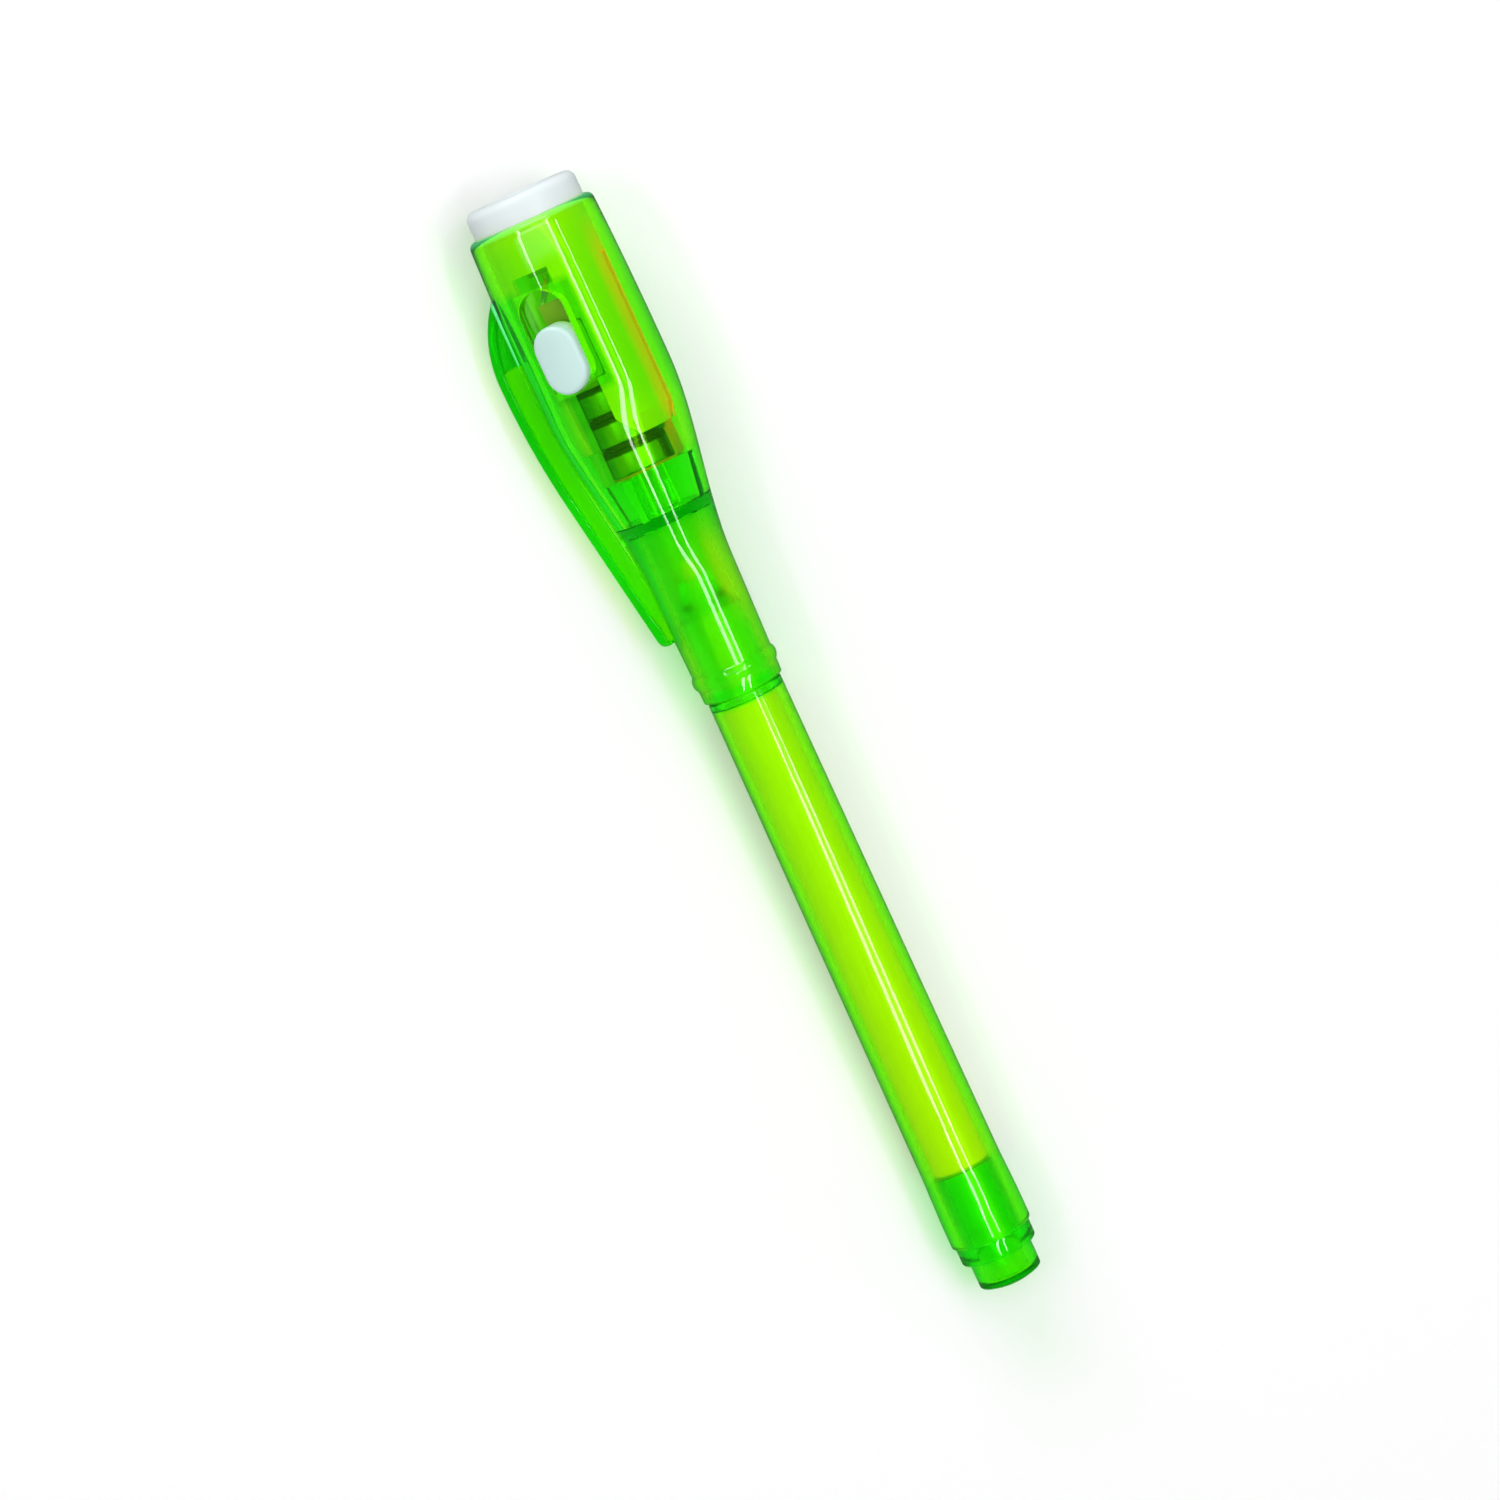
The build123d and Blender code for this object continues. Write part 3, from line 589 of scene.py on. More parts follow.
clip = ringed("clip_blade", capped(rings))
print("Clip:", len(stations), "sections of", section.shape[1], "points")

# %% Stop ribs, and one shell
RIB_INNER, RIB_HALF, RIB_BITE = 2.4, 0.5, 0.2
rib_outer = float(cavity_radius(X_CRADLE_END)) + RIB_BITE
rib_spans = {
    "rib_clip_side": ((RIB_INNER, rib_outer), (-RIB_HALF, RIB_HALF)),
    "rib_far_side": ((-rib_outer, -RIB_INNER), (-RIB_HALF, RIB_HALF)),
    "rib_button_side": ((-RIB_HALF, RIB_HALF), (RIB_INNER, rib_outer)),
    "rib_back": ((-RIB_HALF, RIB_HALF), (-rib_outer, -RIB_INNER)),
}
ribs = [blocks(name, (X_CAVITY - RIB_BITE, X_CRADLE_END), *spans) for name, spans in rib_spans.items()]
shell = worked(shell, [clip, *ribs], "UNION")
goes_on(shell, "cap", "green_plastic", "cap_shell")

# %% [markdown]
# The white lamp holder
#
# A white tube fills the head: its bezel is the light end, its bore holds the lamp and the cells, a long
# window lets the button reach the switch, and its lower end is cut away to a cradle. It is turned as a
# profile, then the openings are cut with plain blocks.

# %% Lamp holder
CARRIER, BEZEL, CELL_BORE, CHAMBER, CRADLE, CONE_FIT = 6.1, 6.5, 4.05, 3.5, 4.95, 0.3
REFLECTOR_MOUTH, REFLECTOR_FOOT, X_REFLECTOR = 4.3, 3.0, X_TOP - 1.9
LAMP_SEAT, LAMP_HOLE, X_LAMP_HOLE = 2.96, 2.56, X_LED + 1.06
holder_profile = outline(
    [
        (X_TOP, REFLECTOR_MOUTH, 0.25),
        (X_TOP, BEZEL, 1.1),
        (X_RIM, BEZEL, 0.1),
        (X_RIM, CARRIER, 0),
        (X_CAVITY_CONE + CONE_FIT, CARRIER, 0.4),
        (X_CRADLE_TOP, float(cavity_radius(X_CRADLE_TOP)) - CONE_FIT, 0.1),
        (X_CRADLE_TOP, CRADLE, 0),
        (X_CRADLE_END, CRADLE, 0.1),
        (X_CRADLE_END, CELL_BORE, 0),
        (X_LEAF, CELL_BORE, 0),
        (X_LEAF, CHAMBER, 0.15),
        (X_LED, CHAMBER, 0),
        (X_LED, LAMP_SEAT, 0),
        (X_LAMP_HOLE, LAMP_SEAT, 0),
        (X_LAMP_HOLE, LAMP_HOLE, 0),
        (X_REFLECTOR, LAMP_HOLE, 0),
        (X_REFLECTOR, REFLECTOR_FOOT, 0.1),
    ],
    steps=8,
)
holder = turned("lamp_holder_tube", holder_profile, closed=True)
print("Lamp holder before its openings:", len(holder.data.polygons), "faces")

# %% Openings in the holder
HALF_WINDOW, HALF_POCKET, HALF_GROOVE, HALF_LEAD_WAY = 2.1, 3.05, 0.85, 0.4
TAB_GROOVE, STRIP_GROOVE, X_GROOVE_END, X_WINDOW_END = 4.45, 5.55, 125.45, X_LED + 0.7
FAR, LOW, CRADLE_EDGE = 8.0, X_CRADLE_END - 1, -1.6
HALF_POCKET_LENGTH, POCKET_FLOOR, X_LEAD = 3.4, FLANGE_BOTTOM - 0.8, X_LED - 1.0
pocket_x = (X_BUTTON - HALF_POCKET_LENGTH, X_BUTTON + HALF_POCKET_LENGTH)
lead_x = (X_LEAD - HALF_LEAD_WAY, X_LEAD + HALF_LEAD_WAY)
groove = (-HALF_GROOVE, HALF_GROOVE)
cut_spans = {
    "cut_window": ((LOW, X_WINDOW_END), (-HALF_WINDOW, HALF_WINDOW), (0, FAR)),
    "cut_pocket": (pocket_x, (-HALF_POCKET, HALF_POCKET), (POCKET_FLOOR, FAR)),
    "cut_cradle": ((LOW, X_CRADLE_TOP), (-FAR, HALF_WINDOW), (CRADLE_EDGE, FAR)),
    "cut_tab_groove": ((LOW, X_CAVITY_CONE), (-FAR, -TAB_GROOVE), groove),
    "cut_strip_groove": ((LOW, X_GROOVE_END), (-FAR, -STRIP_GROOVE), groove),
    "cut_lead_way": (lead_x, (-FAR, 0), (-HALF_LEAD_WAY, HALF_LEAD_WAY)),
}
cuts = [blocks(name, *spans) for name, spans in cut_spans.items()]
BEVEL_LENGTH, BEVEL_WIDTH, OVERCUT = 2.6, 1.4, 0.1
bevel = np.array(
    [
        (X_CRADLE_TOP - OVERCUT, OVERCUT - HALF_WINDOW),
        (X_CRADLE_TOP + BEVEL_LENGTH, OVERCUT - HALF_WINDOW),
        (X_CRADLE_TOP + BEVEL_LENGTH, -HALF_WINDOW),
        (X_CRADLE_TOP, -HALF_WINDOW - BEVEL_WIDTH),
        (X_CRADLE_TOP - OVERCUT, -HALF_WINDOW - BEVEL_WIDTH),
    ]
)
bevel_rings = np.stack([np.column_stack([bevel, np.full(len(bevel), z)]) for z in (0.0, FAR)])
cuts.append(ringed("cut_bevel", capped(bevel_rings)))
holder = goes_on(worked(holder, cuts, "DIFFERENCE"), "cap", "white_plastic", "light_carrier")

# %% [markdown]
# The push button
#
# Seen from above it is an oval, and its top follows the round of the head. Below is a flange that the shell
# keeps in. Rings about the button's own axis make it in one skin: the flange's underside, its edge, the
# oval's foot, its wall, a rounded shoulder and the crowned top.

# %% Push button
STANDS_OUT, BUTTON_HALF_LENGTH, BUTTON_HALF_WIDTH, SHOULDER = 0.7, 3.9, 2.55, 0.45
FLANGE_HALF_SIZES, SQUARENESS = (3.3, 2.95), 14
CROWN = float(cap_radius(X_BUTTON - X_MOUTH)) + STANDS_OUT
way = np.linspace(0, 2 * np.pi, 120, endpoint=False)
ray = np.column_stack([np.cos(way), np.sin(way)])


def oval(inset):
    """The button's outline, an oval with straight sides, drawn in by an inset."""
    return oval_outline(ray, BUTTON_HALF_WIDTH - inset, BUTTON_HALF_LENGTH - BUTTON_HALF_WIDTH)


def flange_outline():
    """A rounded oblong, |x/a|^n + |y/b|^n = 1 with a high power, as rays from its middle."""
    parts = np.abs(ray / FLANGE_HALF_SIZES) ** SQUARENESS
    return ray * parts.sum(axis=1, keepdims=True) ** (-1 / SQUARENESS)


def crowned(plan):
    """Height of the crowned top: a cylinder about the pen's axis, sqrt(R^2 - y^2)."""
    return np.sqrt(CROWN**2 - plan[:, 1] ** 2)


def ring_at(plan, height):
    """A ring of pen points over a plan outline at the given heights."""
    return np.column_stack([X_BUTTON + plan[:, 0], plan[:, 1], height + 0 * plan[:, 0]])


flange = flange_outline()
button_rings = [
    ring_at(0 * flange, FLANGE_BOTTOM),
    ring_at(flange, FLANGE_BOTTOM),
    ring_at(flange, FLANGE_TOP),
    ring_at(oval(0), FLANGE_TOP),
]
for turn in np.linspace(0, math.pi / 2, 9):
    plan = oval(SHOULDER * (1 - math.cos(turn)))
    button_rings.append(ring_at(plan, crowned(plan) - SHOULDER * (1 - math.sin(turn))))
for shrink_share in np.linspace(0.9, 0, 10):
    plan = oval(SHOULDER) * shrink_share
    button_rings.append(ring_at(plan, crowned(plan)))
button = goes_on(ringed("push_button_oval", np.stack(button_rings)), "button", "white_plastic", "push_button")

# %% [markdown]
# Lamp, cells and switch leaf
#
# The lamp's flange has one flat, made by simply not letting the ring pass a line. The cells are turned: a
# can with rounded edges, a black sealing ring and a raised cap. The switch leaf is a strip carried along a
# bent line.

# %% Lamp
LAMP_RADIUS, LAMP_FLANGE, LAMP_FLAT, X_LAMP_FLANGE, X_DOME = 2.5, 2.9, 2.65, X_LED + 1.0, X_LED + 6.1
dome_turn = np.linspace(0, math.pi / 2, 16)
dome = np.column_stack([X_DOME + LAMP_RADIUS * np.cos(dome_turn), LAMP_RADIUS * np.sin(dome_turn)])
lamp_profile = outline(
    [
        *plain(dome),
        (X_LAMP_FLANGE, LAMP_RADIUS, 0.1),
        (X_LAMP_FLANGE, LAMP_FLANGE, 0.12),
        (X_LED, LAMP_FLANGE, 0.12),
        (X_LED, 0, 0),
    ]
)
angle = np.linspace(0, 2 * np.pi, 96, endpoint=False)
lamp_x, lamp_r = lamp_profile[:, :1], lamp_profile[:, 1:]
lamp_y = np.maximum(lamp_r * np.cos(angle), -LAMP_FLAT)
lamp_rings = np.stack([lamp_x + 0 * angle, lamp_y, lamp_r * np.sin(angle)], axis=-1)
lamp = goes_on(ringed("lamp_body", lamp_rings), "cap", "lamp_resin", "uv_led")

# %% Button cells
CAN_MOUTH, CAN_DISH, DISH_DEPTH, CELL_PLACES = 3.42, 3.2, 0.06, 96
SEAL_RADIUS, SEAL_HEIGHT, LID_RADIUS, LID_HEIGHT = 3.4, 0.2, 3.0, 0.5
cans, gaskets, caps = [], [], []
for tag in (1, 2, 3):
    start = X_STACK + (tag - 1) * CELL_HEIGHT
    end = start + CELL_CAN_HEIGHT
    seal_top, lid_top = end + SEAL_HEIGHT, end + LID_HEIGHT
    can = outline(
        [
            (start, 0, 0),
            (start, CELL_RADIUS, 0.28),
            (end, CELL_RADIUS, 0.35),
            (end, CAN_MOUTH, 0.08),
            (end - DISH_DEPTH, CAN_DISH, 0),
            (end - DISH_DEPTH, 0, 0),
        ]
    )
    seal = outline(
        [
            (end, LID_RADIUS, 0),
            (end, SEAL_RADIUS, 0),
            (seal_top, SEAL_RADIUS, 0.06),
            (seal_top, LID_RADIUS, 0),
        ]
    )
    lid = outline([(end, 0, 0), (end, LID_RADIUS, 0), (lid_top, LID_RADIUS, 0.18), (lid_top, 0, 0)])
    for pieces, name, line, closed, slot, node in (
        (cans, "cell_can_skin", can, False, "cell_steel", "cell_can"),
        (gaskets, "cell_seal", seal, True, "gasket", "cell_gasket"),
        (caps, "cell_lid", lid, False, "cell_steel", "cell_cap"),
    ):
        skin = turned(f"{name}_{tag}", line, closed, CELL_PLACES)
        pieces.append(goes_on(skin, "cap", slot, f"{node}_{tag}"))

# %% Switch leaf
LEAF_THICKNESS, LEAF_HALF_WIDTH, LEAF_BEND, LEAF_ROOT, LEAF_PLAY = 0.25, 1.5, 0.5, 3.6, 0.06
leaf_tip_height = FLANGE_BOTTOM - LEAF_PLAY - LEAF_THICKNESS / 2
leaf_foot = -math.sqrt(CELL_BORE**2 - LEAF_HALF_WIDTH**2) + 0.1
pad_x = X_LEAF - LEAF_THICKNESS / 2
leaf_line = outline(
    [(pad_x, leaf_foot, 0), (pad_x, LEAF_ROOT, LEAF_BEND), (X_LEAF_TIP, leaf_tip_height, 0)], steps=12
)
run_share = np.linspace(0, 1, 24)[1:, None]
leaf_line = np.concatenate([leaf_line[:-1], leaf_line[-2] + (leaf_line[-1] - leaf_line[-2]) * run_share])


def strip(name, line, thickness, half_width):
    """A flat strip carried along a line of x and z: the line plus or minus half the thickness along its
    normal, which is the tangent turned by a right angle, and half the width to each side."""
    tangent = np.gradient(line, axis=0)
    tangent /= np.linalg.norm(tangent, axis=1, keepdims=True)
    normal = np.column_stack([-tangent[:, 1], tangent[:, 0]]) * thickness / 2
    edges = []
    for face, side in ((1, 1), (1, -1), (-1, -1), (-1, 1)):
        x, z = (line + face * normal).T
        edges.append(np.column_stack([x, np.full(len(line), side * half_width), z]))
    return ringed(name, capped(np.stack(edges, axis=1)))


leaf = strip("switch_leaf_strip", leaf_line, LEAF_THICKNESS, LEAF_HALF_WIDTH)
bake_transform(leaf)
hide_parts("switch_leaf")
print("switch_leaf_strip:", len(leaf.data.polygons), "faces, bends from the cap to the button")

# %% [markdown]
# Writing shader maths as Python
#
# A material is a small calculation for each point of a surface. Wired by hand it becomes a tangle, so one
# class wraps a socket and lets ordinary operators add the Math nodes, and one method makes any other node:
# its settings first, then its sockets.

# %% Shader helpers
class Value:
    """A shader output that takes part in sums. Each operator adds one Math node."""

    def __init__(self, finish, socket):
        self.finish, self.socket = finish, socket

    def math(self, operation, first, second):
        return self.finish.node("Math", {0: first, 1: second}, {"operation": operation})

    def __add__(self, other):
        return self.math("ADD", self, other)

    def __sub__(self, other):
        return self.math("SUBTRACT", self, other)

    def __rsub__(self, other):
        return self.math("SUBTRACT", other, self)

    def __mul__(self, other):
        return self.math("MULTIPLY", self, other)

    __radd__ = __add__
    __rmul__ = __mul__


class Finish:
    """A node tree being filled in, with one way to make any node."""

    def __init__(self, tree):
        self.tree = tree
        tree.nodes.clear()

    def node(self, kind, sockets=None, settings=None, out=0):
        """Adds a node: its settings, then its sockets' values or links. A colour is red, green and blue."""
        made = self.tree.nodes.new("ShaderNode" + kind)
        for key, setting in (settings or {}).items():
            if key == "stops":
                for stop, (position, colour) in zip(made.color_ramp.elements, setting):
                    stop.position, stop.color = position, (*colour, 1)
            else:
                setattr(made, key, setting)
        for key, value in (sockets or {}).items():
            socket = made.inputs[key]
            if isinstance(value, Value):
                self.tree.links.new(value.socket, socket)
            else:
                socket.default_value = (*value, 1) if socket.type == "RGBA" else value
        return Value(self, made.outputs[out]) if len(made.outputs) else None

    def noise(self, scale, stretch, detail):
        """Noise on the piece's own coordinates, in features per metre, drawn out along the pen by stretch."""
        place = self.node("TexCoord", out="Object")
        pulled = self.node("Mapping", {"Vector": place, "Scale": stretch})
        return self.node("TexNoise", {"Vector": pulled, "Scale": scale, "Detail": detail})

    def pen_place(self):
        """A point's place in the pen in mm: along the axis, to the clip's side, outwards and off the axis."""
        place = self.node("TexCoord", out="Object")
        start = self.node("VectorMath", {0: place, 1: tuple(TAIL)}, {"operation": "SUBTRACT"})
        dot, cross, length = ({"operation": name} for name in ("DOT_PRODUCT", "CROSS_PRODUCT", "LENGTH"))
        sides = [
            self.node("VectorMath", {0: start, 1: tuple(side)}, dot, out="Value") * 1000
            for side in (AHEAD, CLIPWARD, OUT)
        ]
        away = self.node("VectorMath", {0: start, 1: tuple(AHEAD)}, cross)
        radius = self.node("VectorMath", {0: away}, length, out="Value")
        return *sides, radius * 1000

    def rise(self, value, start, end):
        """A step that goes from 0 at start to 1 at end."""
        return self.node("MapRange", {"Value": value, "From Min": start, "From Max": end})

    def band(self, value, start, full, fading, end):
        """1 from full to fading, going down to 0 at start and at end."""
        return self.rise(value, start, full) * self.rise(value, end, fading)

    def bump(self, height, distance, strength, over=None):
        """A bumpy normal from a height, which may lie over another one."""
        sockets = {"Height": height, "Distance": distance, "Strength": strength}
        return self.node("Bump", {**sockets, "Normal": over} if over else sockets)

    def mix(self, factor, first, second):
        """One colour where the factor is 0, another where it is 1."""
        sockets = {"Factor": factor, "A": first, "B": second}
        return self.node("Mix", sockets, {"data_type": "RGBA"}, out="Result")

    def layered(self, ground, *layers):
        """Colours laid over a ground one after another, each where its mask is 1."""
        for mask, colour in layers:
            ground = self.mix(mask, ground, colour)
        return ground

    def by_ray(self, shader, paths):
        """A shader that gives way to another one for some kinds of ray."""
        for path, other in paths:
            shader = self.node("MixShader", {0: self.node("LightPath", out=path), 1: shader, 2: other})
        return shader

    def painted(self, sockets):
        """Ends a material with one plain surface."""
        self.node("OutputMaterial", {"Surface": self.node("BsdfPrincipled", sockets)})


def finish(name):
    """A new material and the finish that fills it."""
    material = bpy.data.materials.new(name)
    material.use_nodes = True
    return material, Finish(material.node_tree)


def wear(pieces, material):
    """Gives pieces or CAD nodes a material in place of the one that they came with."""
    for piece in pieces:
        piece.data.materials.clear()
        piece.data.materials.append(material)


# %% [markdown]
# Clear green plastic
#
# The colour of a clear moulding is in its depth, not on its skin: a thin wall is lime, two walls and a
# block are deep green. A green skin would make every wall the same. So the surface is smooth clear plastic
# that bends light, and the volume inside takes away red and blue with distance. Lamps can't see through
# bent glass, so light that goes to or from a dull surface passes straight through the skin, and still loses
# colour in the wall. Dayglow dye also gives some green light back, which is a weak painted glow of the skin
# here.

# %% Clear plastic
CLEAR, NO_GLOW = (1, 1, 1), (0, 0, 0)
FLOW_TONE = (0.93, 0.97, 0.92)


def clear_plastic(name, absorbed, density, base, glow=NO_GLOW, shape=None):
    """Smooth clear plastic over a volume that absorbs with distance, with a moulder's faint waves and rubs. A
    shape function may change the tint, the roughness and the glow from place to place, which paints shade
    and glows."""
    material, f = finish(name)
    flow = f.noise(90, (0.35, 1, 1), 2.0)
    rubs = f.noise(1400, (0.06, 1, 1), 4.0)
    specks = f.noise(5200, (1, 1, 1), 1.0)
    tint = f.mix(flow, [part * tone for part, tone in zip(base, FLOW_TONE)], base)
    roughness = 0.015 + rubs * 0.05
    if shape:
        tint, roughness, glow = shape(f, tint, roughness, glow)
    waves = f.bump(flow, 0.00004, 0.12)
    body = f.node(
        "BsdfPrincipled",
        {
            "Base Color": tint,
            "Roughness": roughness,
            "IOR": 1.49,
            "Transmission Weight": 1.0,
            "Emission Color": glow,
            "Emission Strength": 1.0,
            "Normal": f.bump(rubs * 0.7 + specks * 0.3, 0.000004, 0.25, over=waves),
        },
    )
    straight = f.node("BsdfTransparent", {"Color": CLEAR})
    skin = f.by_ray(body, (("Is Diffuse Ray", straight), ("Is Shadow Ray", straight)))
    depth = f.node("VolumeAbsorption", {"Color": absorbed, "Density": density})
    f.node("OutputMaterial", {"Surface": skin, "Volume": depth})
    return material


# %% Dyed plastic
# The green glow on every dyed skin is painted light, in place of the dayglow dye's own light.
DYE_DENSITY, PAINTED_DAYGLOW, SKIN_TINT = 4000.0, (0.0, 0.025, 0.0), (0.97, 1.0, 0.95)


def dyed(name, red, green, shape):
    """Green plastic whose dye takes away red and green at the given rates per mm, and all of the blue, with a
    painted green glow on its skin in place of the light that dayglow dyes give back."""
    kept = (1 - red * 1000 / DYE_DENSITY, 1 - green * 1000 / DYE_DENSITY, 0.0)
    left = [round(math.exp(-rate), 2) for rate in (red, green)]
    print(name, "keeps", left, "of red and green in 1 mm")
    return clear_plastic(name, kept, DYE_DENSITY, SKIN_TINT, PAINTED_DAYGLOW, shape)


# %% [markdown]
# Where the plastic differs
#
# A real cap isn't one even green. Light gathers in the dyed wall and comes out at edges, so the rim, the
# slot and one corner of the clip's root give light: here these are painted glows. The neck, the clip, the
# head's side next to it, the space under the cells and the mouth are seen through more plastic and look
# greener: this is painted green shade in the tint. The neck's core isn't polished, and on its far side the
# light that has come a long way through the wall is warm: a painted warm glow. All this could be painted on
# by hand. Masks are surer: each goes from 0 to 1 at a place along the pen or across it, in millimetres, and
# lays one colour over what is there. LEAN turns the sideways places by 15 degrees from the clip towards the
# button, and FAR_LEAN looks away from the clip in the neck.

# %% Green plastic
LEAN, FAR_LEAN = (0.966, 0.259), (0.935, 0.355)
X_SLOT, X_SLOT_END = SLOT_MIDDLE - SLOT_LENGTH / 2, SLOT_MIDDLE + SLOT_LENGTH / 2


def cap_places(f, tint, roughness, painted_glow):
    """The cap's painted light and shade: a matt core in the neck with a painted warm glow on its far side,
    painted green shade in the neck, at the mouth, under the cells, beside the clip and on it, and painted
    glows on the clip, at the rim, in the slot and at the clip root's corner."""
    along, clipward, out, radius = f.pen_place()
    to_clip = clipward * LEAN[0] + out * LEAN[1]
    from_clip = clipward * -FAR_LEAN[0] - out * FAR_LEAN[1]
    in_neck = f.rise(along, X_PARTITION + 0.1, X_PARTITION - 0.3) * f.rise(radius, 4.3, 4.1)
    far_side = f.rise(from_clip, 2.0, 2.9) * f.band(along, 81.0, 86.0, 91.0, 95.0)
    on_clip = f.rise(clipward - 5.4 - 2.7 * f.rise(along, 88.0, 106.0), 0.0, 0.3)
    by_clip = f.rise(to_clip, 4.2, 5.2) * f.band(along, 98.0, 100.0, 124.4, 125.4)
    in_slot = f.band(along, X_SLOT - 0.2, X_SLOT - 0.1, X_SLOT_END + 0.1, X_SLOT_END + 0.2)
    in_slot = in_slot * f.rise(out, 0.0, 1.0) * f.rise(clipward * clipward, 7.5, 7.2)
    in_corner = f.band(out, 2.2, 2.5, 2.8, 3.0) * f.band(clipward, 6.8, 7.0, 7.5, 7.7)
    in_corner = in_corner * f.band(along, 113.0, 118.0, 124.6, 125.6)
    # Painted green shade: each layer makes the tint greener where the plastic is seen through more depth.
    tint = f.layered(
        tint,
        (f.rise(along, X_CAVITY + 1.0, X_CAVITY), (0.78, 1.0, 0.8)),
        (f.rise(along, X_MOUTH + 1.5, X_MOUTH + 0.9), (0.4, 1.0, 0.5)),
        (f.band(along, X_PARTITION - 0.2, X_PARTITION, 101.4, 102.6), (0.5, 1.0, 0.65)),
        (by_clip, (0.35, 1.0, 0.6)),
        (on_clip, (0.3, 1.0, 0.5)),
    )
    # Painted glows: warm on the neck's far side, green on the clip, at the rim, in the slot and at the clip root's
    # corner.
    painted_glow = f.layered(
        painted_glow,
        (far_side * in_neck, (0.22, 0.02, 0.0)),
        (on_clip, (0.0, 0.06, 0.0)),
        (f.rise(along, X_RIM - 0.75, X_RIM - 0.2), (0.05, 0.34, 0.12)),
        (in_slot, (0.02, 0.15, 0.0)),
        (in_corner, (0.14, 0.55, 0.3)),
    )
    return tint, roughness + in_neck * 0.3, painted_glow


def plug_places(f, tint, roughness, painted_glow):
    """The plug's skirt, in the barrel, is painted greener than its boss, as painted shade, and its hollow
    isn't polished.
    """
    along, _, _, radius = f.pen_place()
    in_barrel, hollow = f.rise(along, X_BARREL - 0.1, X_BARREL), f.rise(radius, 2.75, 2.65)
    tint = f.mix(in_barrel, tint, (0.4, 1.0, 0.6))
    return tint, roughness + in_barrel * 0.15 + hollow * 0.2, painted_glow


def barrel_places(f, tint, roughness, painted_glow):
    """The bore is duller than the outside. Painted green shade makes the wall greener round the plug and by the
    cap's mouth.
    """
    along, _, _, radius = f.pen_place()
    in_bore = f.rise(radius, 3.75, 3.65) * f.rise(along, X_MOUTH, X_MOUTH - 0.5)
    by_plug = f.rise(along, X_SKIRT_END + 0.4, X_SKIRT_END - 0.2)
    by_mouth = f.band(along, X_MOUTH - 1.6, X_MOUTH - 0.8, X_MOUTH + 0.8, X_MOUTH + 1.6)
    tint = f.layered(tint, (by_plug, (0.6, 1.0, 0.7)), (by_mouth, (0.35, 1.0, 0.5)))
    return tint, roughness + in_bore * 0.22, painted_glow


wear([barrel], dyed("barrel_green", 0.55, 0.04, barrel_places))
wear([plug], dyed("plug_green", 1.0, 0.06, plug_places))
wear([shell], dyed("cap_green", 0.5, 0.06, cap_places))

# %% [markdown]
# White plastic
#
# The holder and the button are cold white moulded plastic with a fine, even grain. Under the cap the holder
# looks warm, and green beside the slot and on the clip's side, because its light has gone through the dyed
# wall twice. Plastic this thin isn't quite opaque either, so its chamber is full of green light, less of it
# in the gap beside the cells. Tracing all this would take far more time, so these are painted light and
# shade: tones and weak glows by place, as on the cap. The button's flange, under the wall, is painted green
# the same way.

# %% White plastic
def moulded_white(name, colour, shade, roughness, shape):
    """Matt moulded plastic: a slow drift of tone and a fine grain. The shape function paints light and shade:
    it changes the tone and adds a glow from place to place."""
    material, f = finish(name)
    drift = f.noise(160, (0.6, 1, 1), 3.0)
    grain = f.noise(7000, (1, 1, 1), 2.0)
    tone, glow = shape(f, f.mix(drift, shade, colour))
    f.painted(
        {
            "Base Color": tone,
            "Roughness": roughness + grain * 0.12,
            "Emission Color": glow,
            "Emission Strength": 1.0,
            "Normal": f.bump(grain, 0.000012, 0.5),
            "IOR": 1.48,
        }
    )
    return material


def holder_places(f, tone):
    """Painted light and shade: warm under the cap, a painted orange glow beside the bronze strip, and painted
    green shade by the clip, by the slot and inside, with a painted green glow in the chamber.
    """
    along, clipward, out, radius = f.pen_place()
    to_clip, above = clipward * LEAN[0] + out * LEAN[1], out * LEAN[0] - clipward * LEAN[1]
    by_strip = f.rise(to_clip, -4.65, -5.85) * f.rise(above, -0.6, 0.5)
    by_strip = by_strip * f.band(along, 101.5, 106.0, 124.0, 130.0)
    by_clip = f.rise(to_clip, 3.5, 4.3) * f.rise(along, 125.6, 124.4)
    by_clip = by_clip * (0.55 + 0.45 * f.rise(along, 111.0, 114.0))
    by_slot = f.rise(clipward * clipward, 14.0, 10.5) * f.rise(out, 2.5, 3.5)
    by_slot = by_slot * f.band(along, X_SLOT - 1.1, X_SLOT - 0.1, X_SLOT_END - 0.4, X_SLOT_END + 0.6)
    inside = f.rise(radius, 5.7, 5.3) * f.rise(along, X_LED + 1.2, X_LED + 0.8)
    chamber = f.mix(f.rise(along, 112.0, 114.0), (0.0, 0.11, 0.0), (0.03, 0.24, 0.0))
    # Painted tones for light that came through the green wall, and painted glows beside the strip and in the
    # chamber.
    tone = f.layered(
        tone,
        (f.rise(along, X_RIM + 0.05, X_RIM - 0.05), (0.97, 0.93, 0.7)),
        (by_strip, (0.98, 0.6, 0.1)),
        (by_clip, (0.06, 0.85, 0.05)),
        (by_slot, (0.15, 0.62, 0.08)),
        (inside, (0.2, 0.6, 0.05)),
    )
    return tone, f.layered(NO_GLOW, (by_strip, (1.2, 0.02, 0.0)), (inside, chamber))


